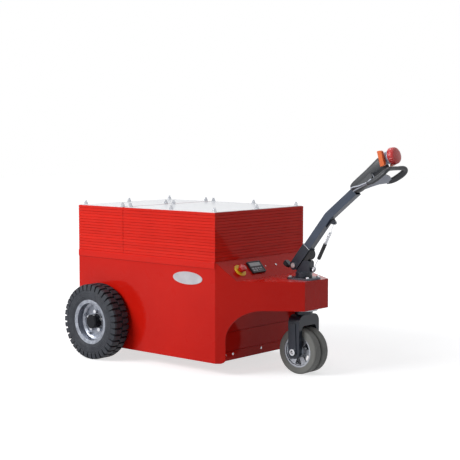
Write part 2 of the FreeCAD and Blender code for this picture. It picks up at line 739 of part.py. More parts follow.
# Tow coupling at the rear
def tow_bracket():
    body = new_body("tow_bracket", x=-cell("box_rear"))
    wide, low = cell("tow_plate_wide") / 2, cell("tow_plate_low")
    face = new_sketch(body, "YZ")
    high = low + cell("tow_plate_high")
    outline(face, [(-wide, low), (wide, low), (wide, high), (-wide, high)])
    pad = extrude(body, face, cell("tow_plate_thick"), back=True)
    round_edges(body, pad, 14, lambda e: along(e, X_AXIS))
    return body


def tow_jaw():
    """A clevis with a flared mouth, for a trailer's drawbar eye and a loose pin."""
    body = new_body("tow_jaw", x=-cell("box_rear") - cell("tow_plate_thick"), z=cell("jaw_height"))
    gap, plate, reach = cell("jaw_gap") / 2, cell("jaw_plate"), cell("jaw_reach")
    outer, flare = gap + plate, cell("jaw_plate")
    tip = -reach - cell("jaw_wide") / 2
    mouth = tip + flare
    section = new_sketch(body, "XZ")
    outline(section, [
        (0, -outer), (0, outer), (mouth, outer), (tip, outer + flare), (tip, gap + flare), (mouth, gap),
        (-plate, gap), (-plate, -gap), (mouth, -gap), (tip, -gap - flare), (tip, -outer - flare),
        (mouth, -outer),
    ])
    pad = extrude(body, section, cell("jaw_wide"), middle=True)
    bore = new_sketch(body, "XY")
    circle(bore, -reach, 0, cell("jaw_bore") / 2)
    extrude(body, bore, outer * 4, cut=True, middle=True)
    return body


# Drive wheels. Each is modelled about its own centre, with its outer side towards -Y.
def drive_tyre(name, where):
    """Carcass turned in one, with a row of lugs down each shoulder, set half a pitch apart."""
    tyre_half, bead = cell("tyre_width") / 2, cell("bead_diameter") / 2
    rim_half, lip = cell("rim_width") / 2, cell("bead_diameter") / 2 + cell("rim_flange")
    seat, wall_high = cell("seat_gap"), tyre_radius - bead
    base = tyre_radius - cell("lug_depth")
    crown = tyre_radius - cell("lug_width") * cell("lug_width") / (tyre_radius * 8)
    tyre = new_body("tyre_" + name, **where)
    profile = [
        (rim_half - 7 - seat, bead + seat), (rim_half - 4 - seat, lip + seat), (rim_half, lip + seat),
        (tyre_half - 1, bead + wall_high * 0.32), (tyre_half - 1, bead + wall_high * 0.6),
        (tyre_half - 10, base),
    ]
    section = new_sketch(tyre, "YZ")
    outline(section, profile + [(-y, z) for y, z in reversed(profile)])
    revolve(tyre, section, "H_Axis")
    lug = [
        (cell("tread_groove") / 2, base - 3), (cell("tread_groove") / 2, crown),
        (tyre_half - 14, crown), (tyre_half - 4, crown - 4),
        (tyre_half, bead + wall_high * 0.68), (tyre_half - 5, bead + wall_high * 0.6),
    ]
    half_pitch = 180 / cell("lug_count").number
    for side, turn in ((-1, 0), (1, half_pitch)):
        face = new_sketch(tyre, "YZ")
        outline(face, [(y * side, z) for y, z in lug])
        face.AttachmentOffset = FreeCAD.Placement(Vector(), FreeCAD.Rotation(X_AXIS, turn))
        pad = extrude(tyre, face, cell("lug_width"), middle=True)
        repeat_round(tyre, pad, "Y", int(cell("lug_count").number))
    return tyre


def drive_rim(name, where):
    """Split steel rim: flange, bead seat, well and a disc set far in, with the bolts of its halves."""
    bead, rim_half, sheet_thick = cell("bead_diameter") / 2, cell("rim_width") / 2, cell("rim_sheet")
    lip = bead + cell("rim_flange")
    disc = cell("disc_depth") - rim_half
    inside, well = bead - sheet_thick, bead - cell("rim_sheet") * 4
    hole = cell("hub_diameter") / 2 + cell("seat_gap")
    rim = new_body("rim_" + name, **where)
    section = new_sketch(rim, "YZ")
    outline(section, [
        (-rim_half, lip), (sheet_thick - rim_half, lip), (7 - rim_half, bead), (rim_half - 7, bead),
        (rim_half - sheet_thick, lip), (rim_half, lip), (rim_half - sheet_thick, inside),
        (disc + 14, inside), (disc + 4, well), (disc + 4, hole), (disc - 2, hole), (disc - 2, well),
        (disc - 10, inside), (sheet_thick - rim_half, inside),
    ])
    turned = revolve(rim, section, "H_Axis")
    bolts = new_sketch(rim, "XZ", 2 - disc)
    circle(bolts, 0, cell("rim_bolt_circle") / 2, 7.5)
    head = extrude(rim, bolts, 9)
    repeat_round(rim, head, "Y", 5)
    return rim


def drive_hub(name, where):
    """Flange behind the disc, barrel out of it, and the wheel nuts."""
    barrel, flange = cell("hub_diameter") / 2, cell("hub_flange") / 2
    bore = cell("spindle_diameter") / 2 + cell("running_gap")
    disc = cell("disc_depth") - cell("rim_width") / 2
    face, back = disc - cell("hub_reach"), disc + 4 + cell("seat_gap")
    bottom = -cell("hub_diameter") * 0.3 - 2
    inner_end = cell("tyre_width") / 2 - 7
    hub = new_body("hub_" + name, **where)
    section = new_sketch(hub, "YZ")
    outline(section, [
        (face, 0), (face, barrel - 6), (face + 5, barrel), (back, barrel), (back, flange),
        (back + 10, flange), (back + 10, barrel), (inner_end, barrel), (inner_end, bore), (bottom, bore),
        (bottom, 0),
    ])
    revolve(hub, section, "H_Axis")
    return hub


def wheel_nuts(name, where):
    """Nuts on the disc that hold the rim to its hub."""
    disc = cell("disc_depth") - cell("rim_width") / 2
    nuts = new_body("wheel_nuts_" + name, several=True, **where)
    plan = new_sketch(nuts, "XZ", 2 - disc)
    circle(plan, 0, cell("wheel_nut_circle") / 2, 10)
    nut = extrude(nuts, plan, 14)
    repeat_round(nuts, nut, "Y", 5)
    return nuts


def drive_wheel(name, side):
    where = {"y": wheel_y * side, "z": tyre_radius, "turn_z": 180 if side > 0 else 0}
    drive_tyre(name, where)
    drive_rim(name, where)
    drive_hub(name, where)
    wheel_nuts(name, where)


# Steered wheels, fork and post
def caster_wheels():
    where = {"x": steer_x, "z": caster_radius}
    inside = cell("caster_space") / 2
    outside = inside + cell("caster_width")
    rim = cell("caster_rim") / 2
    tyres = new_body("caster_tyres", several=True, **where)
    section = new_sketch(tyres, "YZ")
    edge = 7
    for side in (-1, 1):
        outline(section, [
            (inside * side, rim), (outside * side, rim), (outside * side, caster_radius - edge),
            ((outside - edge * 0.4) * side, caster_radius - edge * 0.3), ((outside - edge) * side, caster_radius),
            ((inside + edge) * side, caster_radius), ((inside + edge * 0.4) * side, caster_radius - edge * 0.3),
            (inside * side, caster_radius - edge),
        ])
    revolve(tyres, section, "H_Axis")

    rims = new_body("caster_rims", several=True, **where)
    bore = cell("fork_axle") / 2 + cell("running_gap")
    section = new_sketch(rims, "YZ")
    hub, ring = 27, rim - 9
    for side in (-1, 1):
        outline(section, [
            ((inside + 2) * side, bore), ((outside + 3) * side, bore), ((outside + 3) * side, hub),
            ((outside - 12) * side, hub + 3), ((outside - 10) * side, ring - 3),
            ((outside - 3) * side, ring), ((outside - 3) * side, rim), ((inside + 3) * side, rim),
            ((inside + 3) * side, ring), ((outside - 22) * side, ring - 3),
            ((outside - 22) * side, hub + 3), ((inside + 2) * side, hub),
        ])
    revolve(rims, section, "H_Axis")
    window = new_sketch(rims, "XZ")
    low, high = hub + 6, ring - 5
    outline(window, [(-7, low), (7, low), (19, high - 5), (13, high), (-13, high), (-19, high - 5)])
    cut = extrude(rims, window, cell("box_width"), cut=True, middle=True)
    repeat_round(rims, cut, "Y", 6)


def fork():
    """Arch over the twin wheels: two legs with a raised rib, round feet and a crown."""
    body = new_body("fork", x=steer_x)
    outer, inner, corner = fork_outer - cell("fork_rib"), fork_inner, cell("fork_corner")
    top, axle = cell("fork_top"), caster_radius
    foot = axle - cell("fork_wide") / 2
    under = cell("caster_diameter") + cell("fork_wheel_gap")
    bend = corner - cell("fork_leg") + 8
    section = new_sketch(body, "YZ")
    outline(section, [
        (-outer, foot), (-inner, foot), (-inner, under - bend, bend, -1), (bend - inner, under),
        (inner - bend, under, bend, -1), (inner, under - bend), (inner, foot), (outer, foot),
        (outer, top - corner, corner, 1), (outer - corner, top), (corner - outer, top, corner, 1),
        (-outer, top - corner),
    ])
    pad = extrude(body, section, cell("fork_wide"), middle=True)
    ends = round_edges(body, pad, cell("fork_wide") / 2 - 4,
                       lambda e: along(e, Y_AXIS) and e.BoundBox.ZMax < foot.number + 1)
    wide = cell("fork_rib_wide") / 2
    for start, way in ((outer - 1, False), (1 - outer, True)):
        rib = new_sketch(body, "XZ", start)
        outline(rib, [
            (-wide, axle, wide, 1), (0, axle - wide, wide, 1), (wide, axle), (wide * 0.7, top - corner),
            (-wide * 0.7, top - corner),
        ])
        extrude(body, rib, cell("fork_rib") + 1, back=way)
    bore = new_sketch(body, "XZ")
    circle(bore, 0, axle, cell("fork_axle") / 2 + cell("seat_gap") / 3)
    extrude(body, bore, outer * 4, cut=True, middle=True)
    return body


def fork_axle():
    """The through bolt, with a hexagon head and nut outside the legs."""
    body = new_body("fork_axle", x=steer_x, z=caster_radius)
    section = new_sketch(body, "XZ", -fork_outer)
    circle(section, 0, 0, cell("fork_axle") / 2)
    extrude(body, section, fork_outer * 2)
    for start, way in ((fork_outer, False), (-fork_outer, True)):
        head = new_sketch(body, "XZ", start)
        circle(head, 0, 0, cell("fork_axle") * 0.8)
        extrude(body, head, 9, back=way)
    return body


def steering_post():
    """Column, ring and post in one: the fork turns with it and the tiller pivots on it."""
    body = new_body("steering_post", x=steer_x)
    column, collar, ring = (cell(n) / 2 for n in ("column_diameter", "collar_diameter", "ring_diameter"))
    low = cell("fork_top")
    section = new_sketch(body, "XZ")
    outline(section, [
        (0, low), (collar, low), (collar, low + cell("collar_high")), (column, low + cell("collar_high")),
        (column, ring_bottom), (ring, ring_bottom), (ring, ring_top), (0, ring_top),
    ])
    revolve(body, section, "V_Axis")
    ahead, back, top, corner = cell("post_front"), cell("pivot_back"), cell("post_top"), 12
    block = new_sketch(body, "XZ")
    outline(block, [
        (18 - back, ring_top - 1), (ahead, ring_top - 1), (ahead, top - corner, corner, 1),
        (ahead - corner, top), (22 - back, top), (-back, pivot_z + cell("boss_radius") - 4), (-back, pivot_z),
    ])
    extrude(body, block, cell("post_wide"), middle=True)
    boss = new_sketch(body, "XZ")
    circle(boss, -back, pivot_z, cell("boss_radius"))
    extrude(body, boss, cell("post_wide"), middle=True)
    lug, high, radius = cell("anchor_ahead"), cell("anchor_high"), cell("anchor_radius")
    ear = new_sketch(body, "XZ")
    outline(ear, [
        (ahead - 6, high - radius), (lug, high - radius, radius, 1), (lug + radius, high, radius, 1),
        (lug, high + radius),
        (ahead - 6, high + radius),
    ])
    extrude(body, ear, cell("anchor_thick"), middle=True)
    bores = new_sketch(body, "XZ")
    circle(bores, -back, pivot_z, cell("pivot_bolt") / 2 + cell("running_gap"))
    circle(bores, lug, high, cell("spring_pin") / 2 + cell("running_gap"))
    extrude(body, bores, cell("box_width"), cut=True, middle=True)
    return body


# Tiller. Its pieces are modelled from the pivot, X along the lower tube and Z off its upper side.
def tiller_frame():
    return {"x": pivot_x, "z": pivot_z, "turn_y": -cell("tiller_angle")}


def tiller_bracket():
    """A channel that straddles the post and holds the tube, with the rear stop's foot welded on."""
    body = new_body("tiller_bracket", **tiller_frame())
    deep, wall_thick, end = cell("bracket_deep") / 2, cell("bracket_wall"), cell("bracket_end")
    back, at, thick = cell("foot_back"), cell("foot_plate_at"), cell("foot_plate_thick")
    view = new_sketch(body, "XZ")
    outline(view, [
        (0, -deep), (end, -deep), (end, deep), (0, deep, deep, 1), (-deep, 0, deep, 1),
    ])
    extrude(body, view, cell("tube_side") + wall_thick * 2, middle=True)
    channel = new_sketch(body, "XZ")
    outline(channel, [
        (-deep * 2, -deep * 2), (end * 2, -deep * 2), (end * 2, half_tube), (-deep * 2, half_tube),
    ])
    extrude(body, channel, cell("tube_side"), cut=True, middle=True)
    arm = new_sketch(body, "XZ")
    outline(arm, [
        (-at - thick, half_tube), (-at - thick, back + 15), (-at, back + 15), (-at, deep + 6), (6 - at, deep),
        (12, deep), (12, half_tube),
    ])
    extrude(body, arm, 26, middle=True)
    bore = new_sketch(body, "XZ")
    circle(bore, 0, 0, cell("pivot_bolt") / 2 + cell("seat_gap") / 3)
    extrude(body, bore, cell("box_width"), cut=True, middle=True)
    return body


def tiller_tube():
    """Square tube with one bend, swept along its centre line."""
    body = new_body("tiller_tube", **tiller_frame())
    lower, upper = cell("bend_at"), cell("upper_tube")
    fall = cell("tiller_angle") - cell("grip_angle")
    bend = 120
    back = bend * math.tan(math.radians(fall.number) / 2)
    path = new_sketch(body, "XZ")
    start = cell("tube_start")
    turn_in, turn_out = lower - back, lower + cosine(fall) * back
    first = path.addGeometry(Part.LineSegment(Vector(start.number, 0, 0), Vector(turn_in.number, 0, 0)))
    end_x, end_z = lower + cosine(fall) * upper, -sine(fall) * upper
    out_z = -sine(fall) * back
    last = path.addGeometry(Part.LineSegment(
        Vector(turn_out.number, out_z.number, 0), Vector(end_x.number, end_z.number, 0)))
    arc = path.addGeometry(arc_between(
        Vector(turn_in.number, 0, 0), Vector(turn_out.number, out_z.number, 0), bend, -1))
    path.addConstraint(Sketcher.Constraint("Coincident", first, 2, arc, 2))
    path.addConstraint(Sketcher.Constraint("Coincident", arc, 1, last, 1))
    for edge, point, x, z in ((first, 1, start, 0), (first, 2, turn_in, 0), (last, 1, turn_out, out_z),
                              (last, 2, end_x, end_z)):
        bind(path, Sketcher.Constraint("DistanceX", -1, 1, edge, point, Size.of(x).number), Size.of(x))
        bind(path, Sketcher.Constraint("DistanceY", -1, 1, edge, point, Size.of(z).number), Size.of(z))
    bind(path, Sketcher.Constraint("Radius", arc, bend), Size.of(bend))
    section = new_sketch(body, "YZ", start)
    for half in (half_tube, half_tube - cell("tube_wall")):
        outline(section, [(-half, -half), (half, -half), (half, half), (-half, half)])
    pipe = body.newObject("PartDesign::AdditivePipe", "Tube")
    pipe.Profile = section
    pipe.Spine = path
    return body


def pivot_bolt():
    body = new_body("pivot_bolt", **tiller_frame())
    half = half_tube + cell("bracket_wall")
    shank = new_sketch(body, "XZ", -half)
    circle(shank, 0, 0, cell("pivot_bolt") / 2)
    extrude(body, shank, half * 2)
    for start, way in ((half, False), (-half, True)):
        head = new_sketch(body, "XZ", start)
        circle(head, 0, 0, cell("pivot_bolt") * 0.8)
        extrude(body, head, 8, back=way)
    return body


def rubber_stops():
    """The D-shaped stop under the tube, which rests on the post, and the disc under the rear foot."""
    radius = cell("stop_radius")
    centre = (cell("post_top") + cell("seat_gap") - pivot_z + half_tube * cosine(cell("tiller_angle"))
              + radius) / sine(cell("tiller_angle"))
    stop = new_body("front_stop", **tiller_frame())
    view = new_sketch(stop, "XZ")
    outline(view, [
        (centre - radius, -half_tube, radius, 1), (centre, -half_tube - radius, radius, 1),
        (centre + radius, -half_tube),
    ])
    extrude(stop, view, cell("tube_side") - cell("seat_gap") * 2, middle=True)
    disc = new_body("rear_stop", **tiller_frame())
    face = new_sketch(disc, "YZ", -cell("foot_plate_at") - cell("foot_plate_thick"))
    circle(face, 0, cell("foot_back"), cell("foot_rubber") / 2)
    extrude(disc, face, cell("foot_rubber_thick"), back=True)


def spring_hook():
    """Two ears under the tube and the pin that the spring's upper eye hooks over."""
    body = new_body("spring_hook", **tiller_frame())
    at, drop, pin = cell("hook_at"), cell("hook_drop"), cell("spring_pin") / 2
    ear, inner = cell("anchor_radius"), cell("anchor_thick") / 2
    plate = new_sketch(body, "XZ")
    outline(plate, [(at - 46, -half_tube), (at - 46, 4 - half_tube * 1.5), (at - 8, 4 - half_tube * 1.5),
                    (at - 8, -half_tube)])
    extrude(body, plate, inner * 2 + 6, middle=True)
    ears = new_sketch(body, "XZ")
    outline(ears, [
        (at - 20, -half_tube * 1.2), (at - 6, -drop - ear + 2), (at + 4, -drop - ear), (at + 9, -drop),
        (at + 12, -half_tube * 1.2),
    ])
    extrude(body, ears, inner * 2 + 6, middle=True)
    slot = new_sketch(body, "XZ")
    outline(slot, [
        (at - 50, 3 - half_tube * 1.5), (at - 50, -drop * 2), (at + 30, -drop * 2),
        (at + 30, 3 - half_tube * 1.5),
    ])
    extrude(body, slot, inner * 2, cut=True, middle=True)
    across = new_sketch(body, "XZ")
    circle(across, at, -drop, pin)
    extrude(body, across, inner * 2 + 10, middle=True)
    return body


def spring():
    """The return spring: shackle, wire and rubber sleeve below, and the coil that draws out of it."""
    where = {"x": anchor_x, "z": anchor_z, "turn_y": -spring_angle}
    sleeve, wall_thick = cell("sleeve_diameter") / 2, cell("sleeve_wall")
    low, high = cell("sleeve_at"), cell("sleeve_at") + cell("sleeve_long")
    pin, lug_half = cell("spring_pin") / 2, cell("anchor_thick") / 2 + cell("seat_gap")
    end = cell("anchor_radius") + 3
    link = new_body("spring_sleeve", **where)
    turned = new_sketch(link, "XZ")
    outline(turned, [
        (end, 0), (end, 3), (end + 6, 2), (low - 4, 2), (low, sleeve - 3), (low + 3, sleeve),
        (high, sleeve), (high, sleeve - wall_thick), (low + 4, sleeve - wall_thick), (low + 4, 0),
    ])
    revolve(link, turned, "H_Axis")
    plates = new_sketch(link, "XZ")
    outline(plates, [(-5, -5), (end + 4, -4), (end + 4, 4), (-5, 5)])
    extrude(link, plates, (lug_half + 3) * 2, middle=True)
    throat = new_sketch(link, "XZ")
    outline(throat, [(-20, -20), (end, -20), (end, 20), (-20, 20)])
    extrude(link, throat, lug_half * 2, cut=True, middle=True)
    cross = new_sketch(link, "XZ")
    circle(cross, 0, 0, pin)
    extrude(link, cross, (lug_half + 5) * 2, middle=True)

    coil, groove = cell("coil_diameter") / 2, cell("coil_wire") / 2
    eye, span = cell("eye_radius"), spring_span
    first, last = low + 6, low + 6 + cell("coil_long")
    top = new_body("spring_coil", **where)
    turned = new_sketch(top, "XZ")
    outline(turned, [
        (first, 0), (first, coil - groove), (first + 2, coil), (last, coil), (last, sleeve),
        (last + 12, sleeve), (last + 16, 2), (span - eye - 2, 2), (span - eye - 2, 0),
    ])
    revolve(top, turned, "H_Axis")
    loop = new_sketch(top, "XZ")
    circle(loop, span, 0, eye + 3)
    circle(loop, span, 0, eye)
    extrude(top, loop, 3, middle=True)


# Tiller head, modelled from the tube's upper end, X along the upper tube
def head_frame(**more):
    return {"x": head_x, "z": head_z, "turn_y": -cell("grip_angle"), **more}


def rounded(half, low, high, corner):
    """Outline points of a rectangle with round corners."""
    return [
        (-half, low + corner, corner, 1), (corner - half, low), (half - corner, low, corner, 1),
        (half, low + corner), (half, high - corner, corner, 1), (half - corner, high),
        (corner - half, high, corner, 1), (-half, high - corner),
    ]


def head_pod():
    """Dark moulded body: a ruled loft over the tube's end, and the round nose that drops from it."""
    body = new_body("head_pod", **head_frame())
    half, high, low, edge = cell("pod_wide") / 2, cell("pod_high"), cell("pod_low"), cell("pod_edge")
    over, long = cell("pod_over"), cell("pod_long")
    # place along the head, half width, below and above the tube's axis, round edges
    sections = [
        (-over, half - 7, low + 4, high - 8, edge - 4),
        (long * 0.12, half - 2, low + 2, high, edge),
        (long * 0.55, half, low, high - 2, edge + 2),
        (long + 12, half, low - 6, high + 4, edge + 6),
    ]
    sketches = []
    for along_head, wide, below, above, corner in sections:
        face = new_sketch(body, "YZ", along_head)
        outline(face, rounded(wide, -below, above, corner))
        sketches.append(face)
    loft = body.newObject("PartDesign::AdditiveLoft", "Loft")
    loft.Profile, loft.Sections, loft.Ruled = sketches[0], sketches[1:], True
    socket = new_sketch(body, "YZ", -over - 1)
    bore = half_tube + cell("seat_gap")
    outline(socket, [(-bore, -bore), (bore, -bore), (bore, bore), (-bore, bore)])
    extrude(body, socket, over + 1 + cell("seat_gap"), cut=True, back=True)
    rise, drop, reach = cell("nose_rise"), cell("nose_drop"), 80
    front_cut = new_sketch(body, "XZ")
    outline(front_cut, [
        (long - sine(drop) * reach, rise - cosine(drop) * reach), (long + reach, rise - cosine(drop) * reach),
        (long + reach, rise + cosine(drop) * reach), (long + sine(drop) * reach, rise + cosine(drop) * reach),
    ])
    extrude(body, front_cut, cell("pod_wide") * 2, cut=True, middle=True)
    return body


def nose_frame():
    """The frame of the nose: X along it, from its root on the front of the pod."""
    rise, long, angle = cell("nose_rise"), cell("pod_long"), cell("grip_angle")
    return {
        "x": head_x + long * cosine(angle) - rise * sine(angle),
        "z": head_z + long * sine(angle) + rise * cosine(angle),
        "turn_y": cell("nose_drop") - angle,
    }


def nose():
    """What stands round the nose: the collar behind the button, the throttle's paddles and the button."""
    core, reach = cell("nose_diameter") / 2, cell("nose_reach")
    ring, ring_long = cell("collar_ring") / 2, cell("collar_ring_long")
    back = -ring * 0.45
    stem = new_body("head_nose", **nose_frame())
    section = new_sketch(stem, "XZ")
    outline(section, [
        (0.3, 0), (0.3, core - 4), (3, core), (reach, core), (reach, ring - 2), (reach + 3, ring),
        (reach + ring_long, ring), (reach + ring_long, 0),
    ])
    revolve(stem, section, "H_Axis")

    button = new_body("reverse_button", **nose_frame())
    radius, thick = cell("button_diameter") / 2, cell("button_thick")
    start = reach + ring_long + cell("seat_gap")
    section = new_sketch(button, "XZ")
    outline(section, [
        (start, 0), (start, radius - 3), (start + 3, radius), (start + thick * 0.55, radius - 1),
        (start + thick * 0.8, radius - 6), (start + thick * 0.95, radius * 0.62), (start + thick, 0),
    ])
    revolve(button, section, "H_Axis")

    wings = new_body("throttle", several=True, **nose_frame())
    long, high, thick = cell("throttle_long"), cell("throttle_high") / 2, cell("throttle_thick")
    for side in (-1, 1):
        face = new_sketch(wings, "XZ", -(core + cell("seat_gap")) * side)
        outline(face, [
            (4, 6 - high), (10, -high), (4 + long * 0.7, -high), (4 + long, 6 - high), (4 + long * 0.8, 0),
            (4 + long, high - 6), (4 + long * 0.7, high), (10, high), (4, high - 6), (4 + long * 0.2, 0),
        ])
        extrude(wings, face, thick, back=side > 0)


def wing_sketch(body, lift=0):
    """A sketch in the drooping plane of the left arm, whose points are (ahead, out from the middle)."""
    sketch = new_sketch(body, "XY")
    root, turn = cell("wing_root") + lift, cell("wing_droop") * -1
    sketch.AttachmentOffset = FreeCAD.Placement(
        Vector(0, 0, root.number), FreeCAD.Rotation(X_AXIS, turn.number)
    )
    sketch.setExpression("AttachmentOffset.Base.z", root.text)
    sketch.setExpression("AttachmentOffset.Rotation.Angle", turn.text)
    return sketch


def mirror(body, feature):
    """The feature repeated on the other side of the XZ plane."""
    made = body.newObject("PartDesign::Mirrored", "Mirror")
    made.Originals = [feature]
    plane = next(f for f in body.Origin.OriginFeatures if f.Role == "XZ_Plane")
    made.MirrorPlane = (plane, [""])
    body.Tip = made
    return made


def head_shell():
    """Pale arms that spread and droop from the pod."""
    body = new_body("head_shell", several=True, **head_frame())
    droop = cell("wing_droop")
    root = (cell("pod_wide") / 2 + cell("seat_gap")) / cosine(droop)
    spread, reach = cell("arm_spread") / 2 / cosine(droop), cell("arm_reach")
    arm = wing_sketch(body)
    outline(arm, [
        (-4, root), (reach * 0.9, root), (reach, spread * 0.77), (reach * 0.84, spread),
        (reach * 0.54, spread * 0.66), (2, root + 8),
    ])
    pad = extrude(body, arm, cell("wing_thick"))
    mirror(body, pad)


def head_grips():
    """Closed bars for the hands, from the end of each arm round to the nose."""
    body = new_body("head_grips", several=True, **head_frame())
    droop, gap = cell("wing_droop"), cell("seat_gap")
    spread, reach = cell("grip_spread") / 2 / cosine(droop), cell("grip_reach")
    tip, front = cell("arm_spread") / 2 / cosine(droop), cell("arm_reach")
    below_middle = 1
    inner = (cell("collar_ring") / 2 + gap - below_middle) / cosine(droop)
    wide, thick, bend = cell("grip_wide"), cell("grip_thick"), 40
    beside_button = (cell("button_diameter") / 2 + 4) / cosine(droop)
    bar = wing_sketch(body, (cell("wing_thick") - cell("grip_thick")) / 2 / cosine(droop))
    outline(bar, [
        (front * 0.84 + gap, tip + 1), (reach - bend * 1.3, spread, bend * 1.15, -1),
        (reach, spread - bend), (reach, beside_button + 12), (reach - 6, beside_button), (reach - 6, inner),
        (reach - cell("grip_end"), inner),
        (reach - wide, spread - bend - 4, bend * 0.5, 1), (reach - wide - 16, spread - wide),
        (front + gap * 2, tip * 0.77 + 1),
    ])
    pad = extrude(body, bar, thick)
    mirror(body, pad)


def console():
    """Emergency stop and gauge on the sloped console."""
    def spot(down):
        share = down / 88
        x = front + cell("console_run") * share
        return x, lid_under - (lid_under - cell("deck_top")) * share
    x, z = spot(47)
    where = {"x": x, "z": z, "turn_y": console_angle}
    right = cell("stop_inset") - half_width
    outer, knob = cell("stop_collar") / 2, cell("stop_diameter") / 2
    collar = new_body("stop_collar", y=right, **where)
    section = new_sketch(collar, "XZ")
    outline(section, [
        (knob - 5.5, 0), (outer, 0), (outer, 3), (outer - 3, 5), (knob - 4, 5), (knob - 5.5, 3),
    ])
    revolve(collar, section, "V_Axis")
    button = new_body("stop_button", y=right, **where)
    section = new_sketch(button, "XZ")
    outline(section, [
        (0, 0), (knob - 6, 0), (knob - 6, 16), (knob, 18), (knob + 1, 26), (knob - 3, 33),
        (knob * 0.4, 36), (0, 36),
    ])
    revolve(button, section, "V_Axis")
    x, z = spot(43)
    gauge = new_body(
        "console_gauge", x=x, y=cell("gauge_inset") - half_width, z=z, turn_y=console_angle
    )
    long, wide, thick = cell("gauge_long") / 2, cell("gauge_wide") / 2, cell("gauge_thick")
    plan = new_sketch(gauge, "XY")
    outline(plan, [(-long, -wide), (long, -wide), (long, wide), (-long, wide)])
    pad = extrude(gauge, plan, thick)
    round_edges(gauge, pad, 4, lambda e: along(e, Z_AXIS))
    window = new_sketch(gauge, "XY", thick)
    outline(window, [
        (8 - long, 8 - wide), (-3, 8 - wide), (-3, wide - 8), (8 - long, wide - 8),
    ])
    extrude(gauge, window, 2, cut=True)


floor_pan()
walls()
side_panel("side_panel_right", -1)
side_panel("side_panel_left", 1)
lid()
nose_cover()
nose_floor()
steering_housing()
deck_plate()
battery_block()
drive_axle()
ballast()
ballast_studs()
tow_bracket()
tow_jaw()
drive_wheel("right", -1)
drive_wheel("left", 1)
caster_wheels()
fork()
fork_axle()
steering_post()
tiller_bracket()
tiller_tube()
pivot_bolt()
rubber_stops()
spring_hook()
spring()
head_pod()
nose()
head_shell()
head_grips()
console()
doc.recompute()

for item in doc.Objects:
    if "Invalid" in item.State or "Error" in item.State:
        raise RuntimeError(f"{item.Label} ({item.Name}) failed: {item.State}")
os.makedirs("parts", exist_ok=True)
for item in nodes:
    if item.Shape.isNull() or not item.Shape.isValid() or not item.Shape.Solids:
        raise RuntimeError(f"{item.Label} has no valid solid")
    item.Shape.exportStep(f"parts/{item.Label}.step")
whole = Part.Compound([item.Shape for item in nodes]).BoundBox
print(len(nodes), "nodes; X", round(whole.XMin, 2), round(whole.XMax, 2), "Y", round(whole.YMin, 2),
      round(whole.YMax, 2), "Z", round(whole.ZMin, 2), round(whole.ZMax, 2))
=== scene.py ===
"""Looks of the electric tow tug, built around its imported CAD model.

Metres. +X points forward to the tiller, +Y to the left, +Z up, as in the CAD model.
"""
import json
import math

import bmesh
import bpy
from mathutils import Matrix, Vector

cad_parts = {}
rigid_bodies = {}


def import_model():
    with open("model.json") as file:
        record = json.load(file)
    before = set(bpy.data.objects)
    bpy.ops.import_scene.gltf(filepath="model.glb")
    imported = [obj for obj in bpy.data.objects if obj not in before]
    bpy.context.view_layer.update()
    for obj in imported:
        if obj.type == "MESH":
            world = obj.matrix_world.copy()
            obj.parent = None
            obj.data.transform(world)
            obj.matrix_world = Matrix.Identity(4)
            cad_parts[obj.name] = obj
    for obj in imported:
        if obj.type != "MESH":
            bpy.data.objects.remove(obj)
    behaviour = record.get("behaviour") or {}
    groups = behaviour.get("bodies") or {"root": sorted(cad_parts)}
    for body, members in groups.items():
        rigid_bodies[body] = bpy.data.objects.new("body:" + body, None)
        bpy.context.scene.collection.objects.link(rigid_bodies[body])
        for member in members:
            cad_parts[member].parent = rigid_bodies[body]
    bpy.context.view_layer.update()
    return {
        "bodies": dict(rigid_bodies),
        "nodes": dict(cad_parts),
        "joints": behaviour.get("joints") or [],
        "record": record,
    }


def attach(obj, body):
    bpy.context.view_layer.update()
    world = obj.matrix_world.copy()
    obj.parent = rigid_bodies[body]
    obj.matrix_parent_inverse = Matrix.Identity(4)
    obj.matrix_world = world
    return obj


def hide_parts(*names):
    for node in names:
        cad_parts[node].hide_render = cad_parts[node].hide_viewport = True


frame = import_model()
nodes = frame["nodes"]
joints = {joint["name"]: joint for joint in frame["joints"]}


# Materials
def srgb(red, green, blue):
    """A linear colour from 0 to 255 display values."""
    def linear(value):
        value /= 255
        return value / 12.92 if value <= 0.04045 else ((value + 0.055) / 1.055) ** 2.4
    return (linear(red), linear(green), linear(blue), 1.0)


